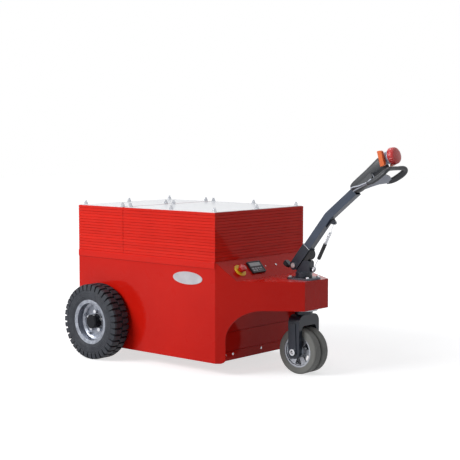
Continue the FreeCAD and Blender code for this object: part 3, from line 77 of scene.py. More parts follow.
class Surface:
    """A node material: a Principled shader, with helpers that add detail to it.

    Keyword sockets are named as the shader's own, with underscores for spaces.
    """

    def __init__(self, name, rough=0.5, metal=0.0, **sockets):
        self.material = bpy.data.materials.new(name)
        self.material.use_nodes = True
        self.tree = self.material.node_tree
        self.shader = self.tree.nodes["Principled BSDF"]
        self.place = self.tree.nodes.new("ShaderNodeTexCoord").outputs["Object"]
        self.shader.inputs["Roughness"].default_value = rough
        self.shader.inputs["Metallic"].default_value = metal
        for socket, value in sockets.items():
            self.shader.inputs[socket.replace("_", " ")].default_value = value

    def node(self, kind, values=None, **options):
        """Adds a node. Each value is a constant or the output of another node."""
        made = self.tree.nodes.new("ShaderNode" + kind)
        for option, value in options.items():
            setattr(made, option, value)
        for socket, value in (values or {}).items():
            if hasattr(value, "is_output"):
                self.tree.links.new(value, made.inputs[socket])
            else:
                made.inputs[socket].default_value = value
        self.last_node = made
        return made

    def noise(self, scale, detail=3.0, rough=0.55, stretch=None):
        place = self.place
        if stretch:
            place = self.node("Mapping", {"Vector": place, "Scale": stretch}).outputs["Vector"]
        return self.node(
            "TexNoise", {"Vector": place, "Scale": scale, "Detail": detail, "Roughness": rough}
        ).outputs["Fac"]

    def cells(self, scale):
        return self.node("TexVoronoi", {"Vector": self.place, "Scale": scale}, feature="F1")

    def spread(self, value, low, high, to_low=0.0, to_high=1.0):
        """Maps value from low..high to to_low..to_high."""
        return self.node(
            "MapRange",
            {"Value": value, "From Min": low, "From Max": high, "To Min": to_low, "To Max": to_high},
        ).outputs["Result"]

    def mixed(self, share, first, second):
        """A colour between two. The Mix node's colour sockets are its numbers 6, 7 and 2."""
        return self.node("Mix", {0: share, 6: first, 7: second}, data_type="RGBA").outputs[2]

    def times(self, first, second):
        return self.node("Math", {0: first, 1: second}, operation="MULTIPLY").outputs["Value"]

    def colour(self, output):
        self.tree.links.new(output, self.shader.inputs["Base Color"])

    def roughness(self, output):
        self.tree.links.new(output, self.shader.inputs["Roughness"])

    def bump(self, height, distance, strength):
        """Adds a bump on top of those before it, and of the soft edges."""
        values = {"Height": height, "Distance": distance, "Strength": strength, "Normal": self.bumps}
        self.bumps = self.node("Bump", values).outputs["Normal"]
        self.tree.links.new(self.bumps, self.shader.inputs["Normal"])

    def soft_edges(self, radius):
        """Rounds the look of hard edges, as a folded or cast edge has."""
        self.bumps = self.node("Bevel", {"Radius": radius}, samples=6).outputs["Normal"]
        self.tree.links.new(self.bumps, self.shader.inputs["Normal"])

    def from_axle(self, x, z):
        """Distance from an axle along Y, in metres."""
        flat = self.node("VectorMath", {0: self.place, 1: (1, 0, 1)}, operation="MULTIPLY").outputs["Vector"]
        return self.node("VectorMath", {0: flat, 1: (x, 0, z)}, operation="DISTANCE").outputs["Value"]

    def plate_shades(self, base, bottom, pitch):
        """Each plate of a stack a little different, with painted shade darkening the seams between plates. In
        metres.
        """
        plate_dark, seam_shade = srgb(120, 14, 10), srgb(84, 9, 8)
        high = self.node("SeparateXYZ", {"Vector": self.place}).outputs["Z"]
        level = self.spread(high, bottom, bottom + pitch)
        self.last_node.clamp = False  # counts on above the first plate
        number = self.node("Math", {0: level}, operation="FLOOR").outputs["Value"]
        shade = self.node("TexWhiteNoise", {"W": number}, noise_dimensions="1D").outputs["Value"]
        base = self.mixed(self.spread(shade, 0.0, 1.0, 0.0, 0.14), base, plate_dark)
        # Painted shade: the colour darkens towards each seam between two plates, broken into dashes along it
        part = self.node("Math", {0: level}, operation="FRACT").outputs["Value"]
        middle = self.node("Math", {0: part, 1: 0.5}, operation="SUBTRACT").outputs["Value"]
        edge = self.node("Math", {0: middle}, operation="ABSOLUTE").outputs["Value"]
        dashes = self.spread(self.noise(9.0, 4.0, 0.6, (1.0, 1.0, 7.0)), 0.42, 0.6, 0.1, 1.0)
        darkening = self.times(self.spread(edge, 0.42, 0.5, 0.0, 0.8), dashes)
        return self.mixed(darkening, base, seam_shade)

    def worn_edges(self, radius):
        """1 along convex and concave edges, 0 on flat faces."""
        bevel = self.node("Bevel", {"Radius": radius}, samples=6).outputs["Normal"]
        normal = self.node("NewGeometry").outputs["Normal"]
        dot = self.node("VectorMath", {0: bevel, 1: normal}, operation="DOT_PRODUCT").outputs["Value"]
        return self.spread(dot, 0.999, 0.9)


def paint(name, colour, dark, rough, edge=0.0022, plates=None):
    """Powder-coated sheet: soft mottling, a little dust and orange peel. plates: bottom and pitch of a plate
    stack, whose seams get painted shade.
    """
    made = Surface(
        name, rough=rough, Specular_IOR_Level=0.03, Coat_Weight=0.45, Coat_IOR=1.25, Coat_Roughness=0.08,
    )
    made.soft_edges(edge)
    cloud = made.spread(made.noise(2.2, 4.0), 0.3, 0.7)
    base = made.mixed(cloud, colour, dark)
    if plates:
        base = made.plate_shades(base, *plates)
    dust = made.spread(made.noise(38.0, 5.0, 0.6), 0.55, 0.8, 0.0, 0.03)
    base = made.mixed(dust, base, srgb(205, 120, 105))
    made.colour(base)
    made.roughness(made.spread(made.noise(14.0, 5.0), 0.3, 0.7, rough - 0.05, rough + 0.09))
    made.bump(made.noise(420.0, 2.0), 0.00012, 0.35)
    return made.material


def slate_paint(name, colour, dark):
    """Blue-grey enamel on castings and tube, rubbed along its edges."""
    made = Surface(name, rough=0.36, Specular_IOR_Level=0.3, Coat_Weight=0.15, Coat_Roughness=0.2)
    made.soft_edges(0.0018)
    cloud = made.spread(made.noise(9.0, 4.0), 0.3, 0.7)
    base = made.mixed(cloud, colour, dark)
    rubbed = made.times(made.worn_edges(0.0014), made.spread(made.noise(60.0, 5.0), 0.45, 0.65, 0.0, 0.35))
    made.colour(made.mixed(rubbed, base, srgb(128, 134, 143)))
    made.roughness(made.spread(made.noise(30.0, 5.0), 0.3, 0.7, 0.28, 0.42))
    made.bump(made.noise(520.0, 2.0), 0.00012, 0.4)
    return made.material


def steel(name, colour, dark, rough, stretch=None, edge=0.0008, bump=0.00004):
    """Bare or plated steel, with fine lines when stretch is set."""
    made = Surface(name, rough=rough, metal=1.0)
    made.soft_edges(edge)
    grain = made.noise(160.0, 5.0, 0.6, stretch)
    made.colour(made.mixed(made.spread(grain, 0.3, 0.7), colour, dark))
    made.roughness(made.spread(made.noise(45.0, 5.0), 0.3, 0.7, rough - 0.08, rough + 0.12))
    made.bump(grain, bump, 0.6)
    return made.material


def galvanised(name):
    """Hot-dip zinc: crystal spangle with dull and bright flakes."""
    made = Surface(name, rough=0.38, metal=0.85)
    made.soft_edges(0.0012)
    flakes = made.cells(150.0)
    shade = made.spread(flakes.outputs["Color"], 0.0, 1.0)
    base = made.mixed(shade, srgb(138, 143, 154), srgb(168, 172, 181))
    darkening = made.spread(made.noise(26.0, 6.0, 0.7), 0.42, 0.72, 0.0, 0.8)
    made.colour(made.mixed(darkening, base, srgb(84, 87, 96)))
    made.roughness(made.spread(flakes.outputs["Color"], 0.0, 1.0, 0.28, 0.5))
    made.bump(made.noise(240.0, 3.0), 0.0001, 0.5)
    return made.material


def rubber(name, colour, dusty, rough, dust, rings=None):
    """Moulded rubber with dust in its grain. The rings are round the axle (x, z) on a sidewall."""
    made = Surface(name, rough=rough, Specular_IOR_Level=0.35)
    made.soft_edges(0.0016)
    patches = made.spread(made.noise(18.0, 6.0, 0.65), 0.42, 0.72, 0.0, dust)
    specks = made.spread(made.noise(190.0, 4.0, 0.7), 0.5, 0.7, 0.0, dust)
    base = made.mixed(patches, colour, dusty)
    made.colour(made.mixed(specks, base, dusty))
    made.roughness(made.spread(made.noise(40.0, 4.0), 0.3, 0.7, rough - 0.1, rough + 0.12))
    made.bump(made.noise(900.0, 3.0), 0.00016, 0.5)
    if rings:
        radius = made.from_axle(*rings)
        wave = made.node("Math", {0: made.times(radius, 700.0)}, operation="SINE").outputs["Value"]
        wall = made.times(made.spread(radius, 0.124, 0.128), made.spread(radius, 0.168, 0.164))  # metres
        made.bump(made.times(made.spread(wave, -0.2, 0.6), wall), 0.0012, 0.8)
    return made.material


def plastic(name, colour, dark, rough, depth=0.00008, coat=0.0):
    """Moulded plastic with a fine spark grain, unless its depth is 0."""
    made = Surface(name, rough=rough, Coat_Weight=coat, Coat_Roughness=0.08)
    made.soft_edges(0.0012)
    made.colour(made.mixed(made.spread(made.noise(24.0, 4.0), 0.35, 0.65), colour, dark))
    made.roughness(made.spread(made.noise(70.0, 4.0), 0.3, 0.7, rough - 0.06, rough + 0.08))
    if depth:
        made.bump(made.cells(1400.0).outputs["Distance"], depth, 0.5)
    return made.material


RED = paint("red_paint", srgb(204, 27, 15), srgb(192, 22, 12), 0.30)
NOSE_RED = paint("nose_red", srgb(204, 27, 15), srgb(192, 22, 12), 0.26, edge=0.006)
LID_RED = paint("lid_red", srgb(214, 34, 23), srgb(204, 29, 19), 0.30)
PLATES = 0.568, 0.015  # the ballast's underside and the pitch of its plates, in metres
PLATE_RED = paint("plate_red", srgb(224, 42, 30), srgb(213, 36, 25), 0.42, edge=0.0009, plates=PLATES)
PALE = paint("pale_sheet", srgb(240, 241, 244), srgb(234, 236, 240), 0.4, edge=0.0006)
# The first slate paint is a darker copy of the tube's, for the fork, steering post, tiller bracket and spring
# hook below the tube: painted shade
SHADED_SLATE = slate_paint("slate_paint", srgb(33, 40, 52), srgb(27, 33, 44))
TUBE_SLATE = slate_paint("tube_paint", srgb(62, 73, 90), srgb(54, 64, 80))
DARK_STEEL = steel("dark_steel", srgb(98, 102, 110), srgb(72, 76, 83), 0.36)
STEEL = steel("machined_steel", srgb(168, 170, 175), srgb(138, 141, 147), 0.34, (1.0, 14.0, 1.0))
ZINC = steel("zinc", srgb(206, 208, 212), srgb(176, 179, 185), 0.24, edge=0.0005)
ALLOY = steel("cast_alloy", srgb(176, 180, 186), srgb(142, 146, 154), 0.42, edge=0.0012, bump=0.00014)
GALVANISED = galvanised("galvanised")
AXLE_X, AXLE_Z = joints["wheel_right_spin"]["pos_m"][0], joints["wheel_right_spin"]["pos_m"][2]
TYRE = rubber("black_tyre", srgb(36, 39, 46), srgb(72, 76, 84), 0.6, dust=0.3, rings=(AXLE_X, AXLE_Z))
GREY_RUBBER = rubber("grey_rubber", srgb(112, 113, 110), srgb(140, 140, 136), 0.58, dust=0.3)
BLACK_RUBBER = rubber("black_rubber", srgb(26, 27, 30), srgb(56, 58, 62), 0.55, dust=0.2)
HUB = paint("hub_black", srgb(30, 32, 37), srgb(24, 26, 30), 0.4, edge=0.0012)
BLACK_PLASTIC = plastic("black_plastic", srgb(38, 42, 48), srgb(31, 34, 40), 0.42)
GREY_PLASTIC = plastic("grey_plastic", srgb(134, 140, 152), srgb(120, 126, 138), 0.4)
PALE_GREY = plastic("pale_grey", srgb(196, 201, 212), srgb(182, 188, 200), 0.42)
RED_PLASTIC = plastic("button_red", srgb(206, 22, 24), srgb(188, 16, 18), 0.26, coat=0.3, depth=0)
ORANGE = plastic("orange_plastic", srgb(236, 110, 34), srgb(222, 96, 26), 0.34, depth=0.00003)
YELLOW = plastic("yellow_plastic", srgb(240, 196, 22), srgb(228, 182, 16), 0.32, depth=0.00003)
BATTERY = plastic("battery", srgb(52, 54, 60), srgb(42, 44, 50), 0.5)
COLLAR = plastic("collar_grey", srgb(176, 186, 202), srgb(160, 170, 188), 0.34)
DISPLAY = plastic("display", srgb(178, 184, 186), srgb(160, 168, 172), 0.2, depth=0.00001)
KEY_GREY = plastic("key_grey", srgb(172, 176, 182), srgb(150, 154, 160), 0.4)
# Pale bare steel for the beads at the tiller bracket's end: a painted highlight for the glint there
WELD_GLINT = steel("weld_glint", srgb(190, 193, 199), srgb(140, 144, 150), 0.36, edge=0.0004, bump=0.0001)
BADGE = plastic("badge_silver", srgb(196, 194, 198), srgb(184, 182, 187), 0.36, depth=0.00002)

LOOKS = {
    "floor_pan": RED, "battery_cover": RED, "front_wall": RED, "rear_wall": RED,
    "side_panel_right": RED, "side_panel_left": RED, "lid": LID_RED,
    "nose_cover": NOSE_RED, "nose_floor": RED, "steering_housing": STEEL, "deck_plate": DARK_STEEL,
    "battery_block": BATTERY, "drive_axle": STEEL,
    "ballast_plates_rear": PLATE_RED, "ballast_plates_front": PLATE_RED, "top_sheets": PALE,
    "ballast_studs": ZINC, "tow_bracket": STEEL, "tow_jaw": STEEL,
    "tyre_right": TYRE, "tyre_left": TYRE, "rim_right": GALVANISED, "rim_left": GALVANISED,
    "hub_right": HUB, "hub_left": HUB, "wheel_nuts_right": ZINC, "wheel_nuts_left": ZINC,
    "caster_tyres": GREY_RUBBER, "caster_rims": ALLOY,
    "fork": SHADED_SLATE, "fork_axle": ZINC, "steering_post": SHADED_SLATE, "tiller_bracket": SHADED_SLATE,
    "tiller_tube": TUBE_SLATE, "pivot_bolt": ZINC, "front_stop": BLACK_RUBBER, "rear_stop": BLACK_RUBBER,
    "spring_hook": SHADED_SLATE, "spring_sleeve": BLACK_RUBBER, "spring_coil": ZINC,
    "head_pod": BLACK_PLASTIC, "head_nose": COLLAR, "head_shell": GREY_PLASTIC, "head_grips": BLACK_PLASTIC,
    "reverse_button": RED_PLASTIC, "throttle": ORANGE, "stop_collar": YELLOW,
    "stop_button": RED_PLASTIC, "console_gauge": BLACK_PLASTIC,
}
for name, look in LOOKS.items():
    slots = nodes[name].material_slots
    for slot in slots:
        slot.material = look
    if not slots:
        nodes[name].data.materials.append(look)


# Frames of the pieces below, in millimetres from the drive axle (X) and the floor (Z)
def side_frame(x, z, up=0.0):
    """A frame in the tug's middle plane: its X is turned up from the tug's X by `up` degrees."""
    turn = Matrix.Rotation(math.radians(-up), 4, "Y")
    return Matrix.Scale(0.001, 4) @ Matrix.Translation((x + AXLE_X * 1000, 0, z)) @ turn


TUG = side_frame(0, 0)
CONSOLE = side_frame(788, 565, -46.58)
TILLER = side_frame(1019, 540, 51.5)
SPRING = side_frame(1125, 521, 62.481)
HEAD = side_frame(1376.7, 920.2, 39)
NOSE = HEAD @ Matrix.Translation((213, 0, 26)) @ Matrix.Rotation(math.radians(23), 4, "Y")
WHEEL = side_frame(0, 200)


def piece(name, parts, look, body, frame=TUG, soften=0.0, replaces=()):
    """A mesh of `parts`, each a list of vertices and a list of faces, in millimetres of `frame`.

    It rides on `body` in place of the nodes that it replaces. soften: width of its edges' bevel.
    """
    mesh = bpy.data.meshes.new(name)
    vertices, faces = [], []
    for points, sides in parts:
        start = len(vertices)
        vertices += [frame @ Vector(point) for point in points]
        faces += [[start + index for index in side] for side in sides]
    mesh.from_pydata(vertices, [], faces)
    shaped = bmesh.new()
    shaped.from_mesh(mesh)
    bmesh.ops.remove_doubles(shaped, verts=shaped.verts, dist=1e-7)
    bmesh.ops.recalc_face_normals(shaped, faces=shaped.faces)
    shaped.to_mesh(mesh)
    shaped.free()
    made = bpy.data.objects.new(name, mesh)
    bpy.context.scene.collection.objects.link(made)
    mesh.materials.append(look)
    mesh.polygons.foreach_set("use_smooth", [True] * len(mesh.polygons))
    mesh.set_sharp_from_angle(angle=math.radians(38))
    if soften:
        bevel = made.modifiers.new("edges", "BEVEL")
        bevel.width, bevel.segments, bevel.limit_method = soften / 1000, 3, "ANGLE"
        bevel.angle_limit = math.radians(30)
        bevel.harden_normals = True
    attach(made, body)
    if replaces:
        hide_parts(*replaces)


def skin(rings):
    """Faces between rings of equally many points, and across the first and the last."""
    count = len(rings[0])
    points = [point for ring in rings for point in ring]
    faces = []
    for this in range(0, len(points) - count, count):
        for step in range(count):
            after = (step + 1) % count
            faces.append([this + step, this + after, this + count + after, this + count + step])
    faces.append(list(range(count)))
    faces.append([len(points) - count + step for step in range(count)])
    return points, faces


def turned(profile, along="Z", steps=40, at=(0, 0, 0)):
    """A profile of (radius, height) points turned round the axis `along`."""
    rings = []
    for radius, height in profile:
        ring = []
        for step in range(steps):
            angle = 2 * math.pi * step / steps
            first, second = radius * math.cos(angle), radius * math.sin(angle)
            point = {
                "Z": (first, second, height), "X": (height, first, second), "Y": (first, height, second),
            }[along]
            ring.append(Vector(point) + Vector(at))
        rings.append(ring)
    return skin(rings)


def prism(outline, low, high, along="Z"):
    """An outline drawn across the axis `along`, from low to high."""
    def at(first, second, third):
        return {"Z": (first, second, third), "Y": (first, third, second), "X": (third, first, second)}[along]
    return skin([[at(a, b, low) for a, b in outline], [at(a, b, high) for a, b in outline]])


def pipe(path, radius, sides=10):
    """A round rod along a path. The radius is a number or one for each point."""
    path = [Vector(point) for point in path]
    radii = radius if isinstance(radius, list) else [radius] * len(path)
    rings, across = [], None
    for index, point in enumerate(path):
        way = (path[min(index + 1, len(path) - 1)] - path[max(index - 1, 0)]).normalized()
        if across is None:
            across = way.orthogonal().normalized()
        across = (across - way * across.dot(way)).normalized()
        other = way.cross(across)
        rings.append([
            point + (across * math.cos(turn) + other * math.sin(turn)) * radii[index]
            for turn in (2 * math.pi * side / sides for side in range(sides))
        ])
    return skin(rings)


def oval(half, low, high, power=3.0, count=36):
    """Points of a rounded rectangle: a superellipse from low to high."""
    middle, tall = (low + high) / 2, (high - low) / 2
    points = []
    for step in range(count):
        angle = 2 * math.pi * step / count
        cos, sin = math.cos(angle), math.sin(angle)
        points.append((
            half * math.copysign(abs(cos) ** (2 / power), cos),
            middle + tall * math.copysign(abs(sin) ** (2 / power), sin),
        ))
    return points


def curve(points, count):
    """`count` points on a smooth curve through the given ones, as many between each two of them."""
    points = [Vector(point) for point in points]
    padded = [2 * points[0] - points[1], *points, 2 * points[-1] - points[-2]]
    spread = []
    for step in range(count):
        place = step / (count - 1) * (len(points) - 1)
        index = min(int(place), len(points) - 2)
        part = place - index
        a, b, c, d = padded[index:index + 4]
        spread.append(0.5 * (
            2 * b + (c - a) * part + (2 * a - 5 * b + 4 * c - d) * part ** 2
            + (3 * b - a - 3 * c + d) * part ** 3
        ))
    return spread


def hexagon(radius, high, at, along="Z", way=1):
    """A hexagon head with a chamfered top on a washer, pointing up or down the axis `along`."""
    washer = [(radius * 1.3, 0), (radius * 1.3, way * high * 0.18), (0.5, way * high * 0.2)]
    head = [
        (radius, way * high * 0.18), (radius, way * high * 0.88), (radius * 0.86, way * high),
        (0.4, way * high),
    ]
    return [turned(washer, along, 28, at), turned(head, along, 6, at)]


# Places on the CAD model, in millimetres
BOX_SIDE, DECK_TOP, FRONT_WALL = 355, 482, 786.5
STEER_X, FORK_AXLE_Z, FORK_SIDE = 1065, 115, 48 + 5 + 6 + 27
TYRE_WALL = BOX_SIDE + 12 + 105  # a drive tyre's outer side


# Badge: a blank oval plate with a raised rim
def badge_ring(size, out):
    return [
        (604 + 100 * size * math.cos(turn), -BOX_SIDE - out, 473 + 32 * size * math.sin(turn))
        for turn in (2 * math.pi * step / 72 for step in range(72))
    ]


piece(
    "badge",
    [skin([
        badge_ring(1.0, 0.0), badge_ring(1.0, 1.2), badge_ring(0.985, 1.8), badge_ring(0.95, 1.8),
        badge_ring(0.93, 1.1), badge_ring(0.6, 1.2), badge_ring(0.02, 1.25),
    ])],
    BADGE, "chassis",
)

# Screws and bolts
corners = [(x, y) for x in (STEER_X - 54, STEER_X + 54) for y in (-43, 43)]
piece(
    "deck_bolts",
    [part for x, y in corners for part in hexagon(8, 8, (x, y, DECK_TOP))],
    ZINC, "chassis",
)
screw_head = [(7, 0), (6.6, 1.6), (4.5, 3.2), (2, 3.8), (0.4, 3.9)]
piece(
    "front_screws",
    [turned(screw_head, "X", 20, (FRONT_WALL, y, 92)) for y in (-277, -219, 3, 219, 277)],
    ZINC, "chassis",
)
piece(
    "console_lamp",
    [turned([(6, 0), (6, 2), (4.6, 2.6), (4, 2.2), (3.4, 4.2), (1.6, 5.2), (0.3, 5.4)], steps=24, at=(60, 70, 0)),
     turned([(3, 0), (3, 1.2), (1, 1.8), (0.3, 1.8)], steps=16, at=(60, -14, 0))],
    ZINC, "chassis", CONSOLE,
)

# Gauge: frame, blank display and keys
def plate(low_x, high_x, low_y, high_y, low, high):
    """A block between two values on each axis."""
    return prism([(low_x, low_y), (high_x, low_y), (high_x, high_y), (low_x, high_y)], low, high)


piece(
    "gauge_frame",
    [plate(28, 33, -145.5, -46.5, 8.9, 11), plate(92.5, 97, -145.5, -46.5, 8.9, 11),
     plate(33, 92.5, -145.5, -141, 8.9, 11), plate(33, 92.5, -51, -46.5, 8.9, 11),
     plate(60, 64, -141, -51, 8.9, 10.2)],
    BLACK_PLASTIC, "chassis", CONSOLE, soften=0.8,
)
piece(
    "gauge_display", [plate(36, 58, -137, -56, 9.0, 9.7)],
    DISPLAY, "chassis", CONSOLE, soften=0.4,
)
piece(
    "gauge_keys",
    [plate(68, 76, y, y + 15, 9.0, 10.3) for y in (-137, -117, -97, -77)]
    + [plate(80, 88, y, y + 15, 9.0, 10.3) for y in (-137, -117)]
    + [turned([(3.4, 9), (3.4, 10), (2, 10.8), (0.3, 11)], steps=20, at=(84, y, 0))
       for y in (-88, -76, -64)],
    KEY_GREY, "chassis", CONSOLE, soften=0.5,
)


def bead(start, end, radius=2.2):
    """A weld along a straight line, its ripples close together."""
    start, end = Vector(start), Vector(end)
    count = max(int((end - start).length / 1.1), 4)
    path = [start.lerp(end, step / count) for step in range(count + 1)]
    radii = [radius * (1 + 0.16 * math.sin(step * 2.1)) for step in range(count + 1)]
    return pipe(path, radii, 9)


# Weld beads where the tube leaves the bracket, left pale so that they give the glint there: a painted highlight
piece(
    "tube_weld_glints",
    [bead((123, side * 22.5, -23), (123, side * 22.5, 23), 2.6) for side in (-1, 1)]
    + [bead((123, -22, 22.5), (123, 22, 22.5), 2.6)],
    WELD_GLINT, "tiller", TILLER,
)

# Spring: wire coil with its straight end and eye, rubber sleeve, and the shackle below it
TURNS, TURN_POINTS, COIL_RADIUS, START, END = 30, 14, 7.1, 72.0, 219.0
EYE_X, EYE_RADIUS = 271.86, 9.1
coil = [
    (START + (END - START) * step / (TURNS * TURN_POINTS),
     COIL_RADIUS * math.cos(step * math.tau / TURN_POINTS), COIL_RADIUS * math.sin(step * math.tau / TURN_POINTS))
    for step in range(TURNS * TURN_POINTS + 1)
]
coil += [(END + 4, 5.5, -3), (END + 9, 2.5, -2), (END + 14, 0.2, 0), (END + 20, 0, 0), (END + 38, 0, 0)]
coil += [
    (EYE_X - EYE_RADIUS * math.cos(turn), 0, EYE_RADIUS * math.sin(turn))
    for turn in (math.radians(12 * step) for step in range(28))
]
piece("spring_wire", [pipe(coil, 1.25, 8)], ZINC, "spring_upper", SPRING, replaces=("spring_coil",))
ribs = [(3.0, 64), (6.5, 64), (8.6, 66)]
for step in range(21):
    ribs += [(9.5, 67.5 + step * 4), (9.0, 69.5 + step * 4)]
ribs += [(9.5, 151), (9.1, 152), (8.8, 152), (8.8, 70), (0.5, 70)]
piece(
    "sleeve", [turned(ribs, "X", 32)],
    BLACK_RUBBER, "spring_lower", SPRING, replaces=("spring_sleeve",),
)
cheek = [(-6, -5), (0, -6.5), (14, -5), (16, 0), (14, 5), (0, 6.5), (-6, 5)]
piece(
    "shackle",
    [pipe(curve([(12, 0, 0), (20, 0, 1.2), (40, 0, 2), (56, 0, 0.8), (68, 0, 0)], 24), 1.6),
     prism(cheek, 4.4, 7.2, "Y"), prism(cheek, -7.2, -4.4, "Y"),
     turned([(4, 9), (4, 9.4), (1, 10.4)], "Y", 20), turned([(4, -9), (4, -9.4), (1, -10.4)], "Y", 20),
     turned([(2.5, -9.2), (2.5, 9.2)], "Y", 20), turned([(5, 12), (5, 16), (2, 18)], "X", 20)],
    ZINC, "spring_lower", SPRING,
)

# Tiller head. Sections of the pod: ahead, half width, low, high
POD = [
    (-6, 20, -4, 35), (-2, 23.5, -10, 39), (8, 26, -15, 42), (26, 28, -18.5, 43.6), (70, 29, -19, 42.6),
    (117, 29.6, -19.6, 42), (160, 29.8, -22, 43.6), (200, 29.8, -24, 45.2), (206, 28.5, -22, 44),
    (209, 25, -18, 42),
]
piece(
    "pod",
    [skin([[(ahead, a, b) for a, b in oval(half, low, high, 3.2)] for ahead, half, low, high in POD])],
    BLACK_PLASTIC, "tiller", HEAD, replaces=("head_pod",),
)
DROOP = math.radians(45)  # the arms' slope
ROOT_Z = 24  # where the arms' underside meets the pod's middle plane


def wing(ahead, out, up, side):
    """A point of an arm: ahead, out along its slope and up from its underside."""
    return (
        ahead, side * (out * math.cos(DROOP) + up * math.sin(DROOP)),
        ROOT_Z - out * math.sin(DROOP) + up * math.cos(DROOP),
    )


# An arm's outline: ahead, out
ARM = [
    (0, 40), (140, 40), (152, 66), (158, 92), (154, 106), (141, 120), (116, 100), (91, 80), (50, 60), (10, 43),
]
ARM_TOP = [(a * 0.97 + 2, b * 0.96 + 1) for a, b in ARM]
piece(
    "arms",
    [skin([[wing(a, b, up, side) for a, b in ARM] for up in (0.5, 7)]) for side in (-1, 1)],
    PALE_GREY, "tiller", HEAD, soften=2.5, replaces=("head_shell",),
)
piece(
    "arm_tops",
    [skin([[wing(a, b, up, side) for a, b in ARM_TOP] for up in (7, 15.5)]) for side in (-1, 1)],
    BLACK_PLASTIC, "tiller", HEAD, soften=3.5,
)
# A grip's middle line: ahead, aside, up, half width
GRIP = [
    (122, 79, -40, 12), (138, 84, -47, 14), (160, 87, -54, 15.5), (186, 88, -58, 16), (212, 88, -60, 16),
    (231, 84, -59, 14.5), (241.5, 74, -56, 12.5), (245, 60, -53, 11), (245, 42, -51.5, 10), (244, 20, -51, 9),
    (244, 0, -51, 9),
]
GRIP_THICK = 9.4  # half of it


def grip_rings(side):
    """Flattened rings square to a grip's middle line. The two grips meet below the button."""
    centre = [Vector((x, side * y, z)) for x, y, z in curve([point[:3] for point in GRIP], 44)]
    halves = [point.x for point in curve([(point[3], 0, 0) for point in GRIP], 44)]
    slope = Vector((0, side * math.sin(DROOP), math.cos(DROOP)))
    rings = []
    for index, (point, half) in enumerate(zip(centre, halves)):
        way = (centre[min(index + 1, len(centre) - 1)] - centre[max(index - 1, 0)]).normalized()
        across = way.cross(slope).normalized()
        up = across.cross(way)
        thick = min(half, GRIP_THICK)
        rings.append([tuple(point + across * a + up * b) for a, b in oval(half, -thick, thick, 2.4, 24)])
    return rings


piece(
    "grips", [skin(grip_rings(side)) for side in (-1, 1)],
    BLACK_PLASTIC, "tiller", HEAD, replaces=("head_grips",),
)
# The pale strip along an arm: ahead, out, up
LIP = [(0, 25, 18), (24, 38, 17), (54, 60, 15), (91, 81, 14), (124, 103, 16), (156, 112, 18.5)]
piece(
    "arm_lips",
    [pipe([wing(*point, side) for point in curve(LIP, 40)], 3.4) for side in (-1, 1)],
    PALE_GREY, "tiller", HEAD,
)
piece(
    "nose_collar",
    [turned([(25, -8), (27, 0), (29.6, 3), (30, 6), (30, 28), (29, 30), (30, 31), (31, 33), (32.6, 36), (33, 40),
             (33, 46), (32, 49.5), (30, 50)], "X", 48)],
    COLLAR, "tiller", NOSE, replaces=("head_nose",),
)

# The button's rings: radius, ahead, share of the flutes' full depth
BUTTON = [
    (36, 50.3, 0), (39.5, 50.4, 0), (41.6, 52.4, 0), (42, 54.5, 0), (41.2, 56.5, 0), (40.6, 58, 1), (40.4, 66, 1),
    (39.6, 72, 1), (37.6, 77, 1), (34.5, 80.5, 0.6), (31, 82.4, 0.2), (26, 83.8, 0), (14, 85, 0), (1, 85.2, 0),
]
FLUTES, FLUTE_POINTS, FLUTE_DEPTH = 24, 6, 1.5


def button_ring(radius, ahead, fluted):
    ring = []
    for step in range(FLUTES * FLUTE_POINTS):
        turn = math.tau * step / (FLUTES * FLUTE_POINTS)
        reach = radius - fluted * (FLUTE_DEPTH if step % FLUTE_POINTS < 2 else 0)
        ring.append((ahead, reach * math.cos(turn), reach * math.sin(turn)))
    return ring


piece(
    "button", [skin([button_ring(*ring) for ring in BUTTON])],
    RED_PLASTIC, "tiller", NOSE, replaces=("reverse_button",),
)
# Upper half of a throttle paddle's outline: ahead, up
PADDLE = [
    (9, 31), (8, 34), (8.5, 36.4), (12, 37), (24, 37), (31, 34), (33.8, 30), (33.8, 22), (32.6, 10), (32, 0),
]
paddle = PADDLE + [(a, -b) for a, b in reversed(PADDLE[:-1])]
piece(
    "paddles", [prism(paddle, 33.3, 51, "Y"), prism(paddle, -51, -33.3, "Y")],
    ORANGE, "tiller", NOSE, soften=3.0, replaces=("throttle",),
)

# Tyre valve and fork axle's end on each side
for side, name in ((-1, "right"), (1, "left")):
    stem = [
        (ahead, side * (TYRE_WALL - inward), up)
        for ahead, inward, up in ((74, 34, 30), (77, 24, 31), (82, 16, 33), (86, 10, 35))
    ]
    piece(
        "valve_" + name, [pipe(curve(stem, 10), 3.2, 12)],
        BLACK_RUBBER, "wheel_" + name, WHEEL,
    )
    piece(
        "fork_bolt_" + name, hexagon(12, 9, (STEER_X, side * FORK_SIDE, FORK_AXLE_Z), "Y", side),
        ZINC, "steer_head",
    )


# Camera, light and floor
camera = bpy.data.objects.new("camera", bpy.data.cameras.new("camera"))
bpy.context.scene.collection.objects.link(camera)
PITCH = math.radians(4.8)
HEADING = Vector((-0.655, 0.756)).normalized()
FOCAL_PIXELS, PICTURE_PIXELS, SENSOR = 1184, 460, 36
view = Vector((HEADING.x * math.cos(PITCH), HEADING.y * math.cos(PITCH), -math.sin(PITCH)))
camera.location = (AXLE_X + 4.622, -4.668, 1.209)
camera.rotation_euler = view.to_track_quat("-Z", "Y").to_euler()
camera.data.sensor_width = SENSOR
camera.data.lens = FOCAL_PIXELS / PICTURE_PIXELS * SENSOR
camera.data.clip_end = 100
bpy.context.scene.camera = camera
bpy.context.scene.view_settings.view_transform = "Standard"


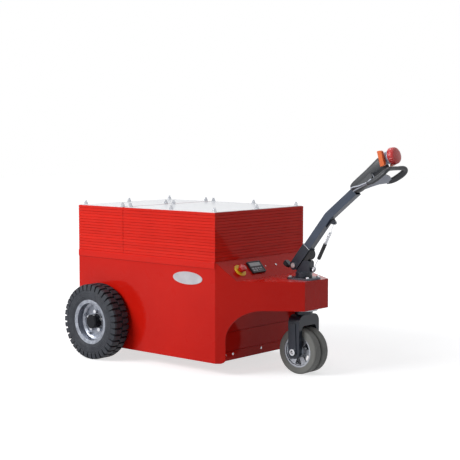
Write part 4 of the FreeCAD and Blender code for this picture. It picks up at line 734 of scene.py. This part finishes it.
def area_light(name, place, aim, size, power):
    light = bpy.data.lights.new(name, "AREA")
    light.shape = "RECTANGLE"
    light.size, light.size_y = size
    light.energy = power
    made = bpy.data.objects.new(name, light)
    made.location = place
    made.rotation_euler = (Vector(aim) - Vector(place)).to_track_quat("-Z", "Y").to_euler()
    bpy.context.scene.collection.objects.link(made)


area_light("key", (-2.2, -4.6, 3.4), (0, 0, 0.5), (3.2, 2.4), 285)
area_light("front", (4.6, 0.8, 2.6), (0.3, 0, 0.5), (2.6, 2.0), 7)
area_light("top", (0.2, 0.6, 4.6), (0, 0, 0.6), (4.0, 3.0), 45)


def seen_directly(tree):
    """1 for camera, glossy and transmission rays."""
    path = tree.nodes.new("ShaderNodeLightPath")
    seen = path.outputs["Is Camera Ray"]
    for ray in ("Is Glossy Ray", "Is Transmission Ray"):
        either = tree.nodes.new("ShaderNodeMath")
        either.operation = "MAXIMUM"
        tree.links.new(seen, either.inputs[0])
        tree.links.new(path.outputs[ray], either.inputs[1])
        seen = either.outputs[0]
    return seen


world = bpy.data.worlds.new("world")
bpy.context.scene.world = world
world.use_nodes = True
tree = world.node_tree
plain = tree.nodes["Background"]
plain.inputs["Color"].default_value = (0.93, 0.96, 1.0, 1)
plain.inputs["Strength"].default_value = 0.22
white = tree.nodes.new("ShaderNodeBackground")
white.inputs["Color"].default_value = (1, 1, 1, 1)
white.inputs["Strength"].default_value = 1.0
blend = tree.nodes.new("ShaderNodeMixShader")
tree.links.new(seen_directly(tree), blend.inputs["Fac"])
tree.links.new(plain.outputs[0], blend.inputs[1])
tree.links.new(white.outputs[0], blend.inputs[2])
tree.links.new(blend.outputs[0], tree.nodes["World Output"].inputs["Surface"])

bpy.ops.mesh.primitive_plane_add(size=40, location=(0, 0, 0))
floor = bpy.context.object
floor.name = "floor"
floor_look = Surface("floor_look", rough=0.85)
grain = floor_look.spread(floor_look.noise(3.0, 3.0), 0.3, 0.7)
floor_look.colour(floor_look.mixed(grain, (0.52, 0.52, 0.53, 1), (0.50, 0.50, 0.51, 1)))
glow = floor_look.node("Emission", {"Color": (1, 1, 1, 1)})
away = floor_look.node("VectorMath", {0: floor_look.place}, operation="LENGTH").outputs["Value"]
bright = floor_look.spread(away, 0.8, 3.0, 0.66, 0.9)  # brighter away from the tug, so its edge is white
floor_look.tree.links.new(floor_look.times(seen_directly(floor_look.tree), bright), glow.inputs["Strength"])
both = floor_look.node("AddShader", {0: floor_look.shader.outputs[0], 1: glow.outputs[0]})
floor_look.tree.links.new(both.outputs[0], floor_look.tree.nodes["Material Output"].inputs["Surface"])
floor.data.materials.append(floor_look.material)
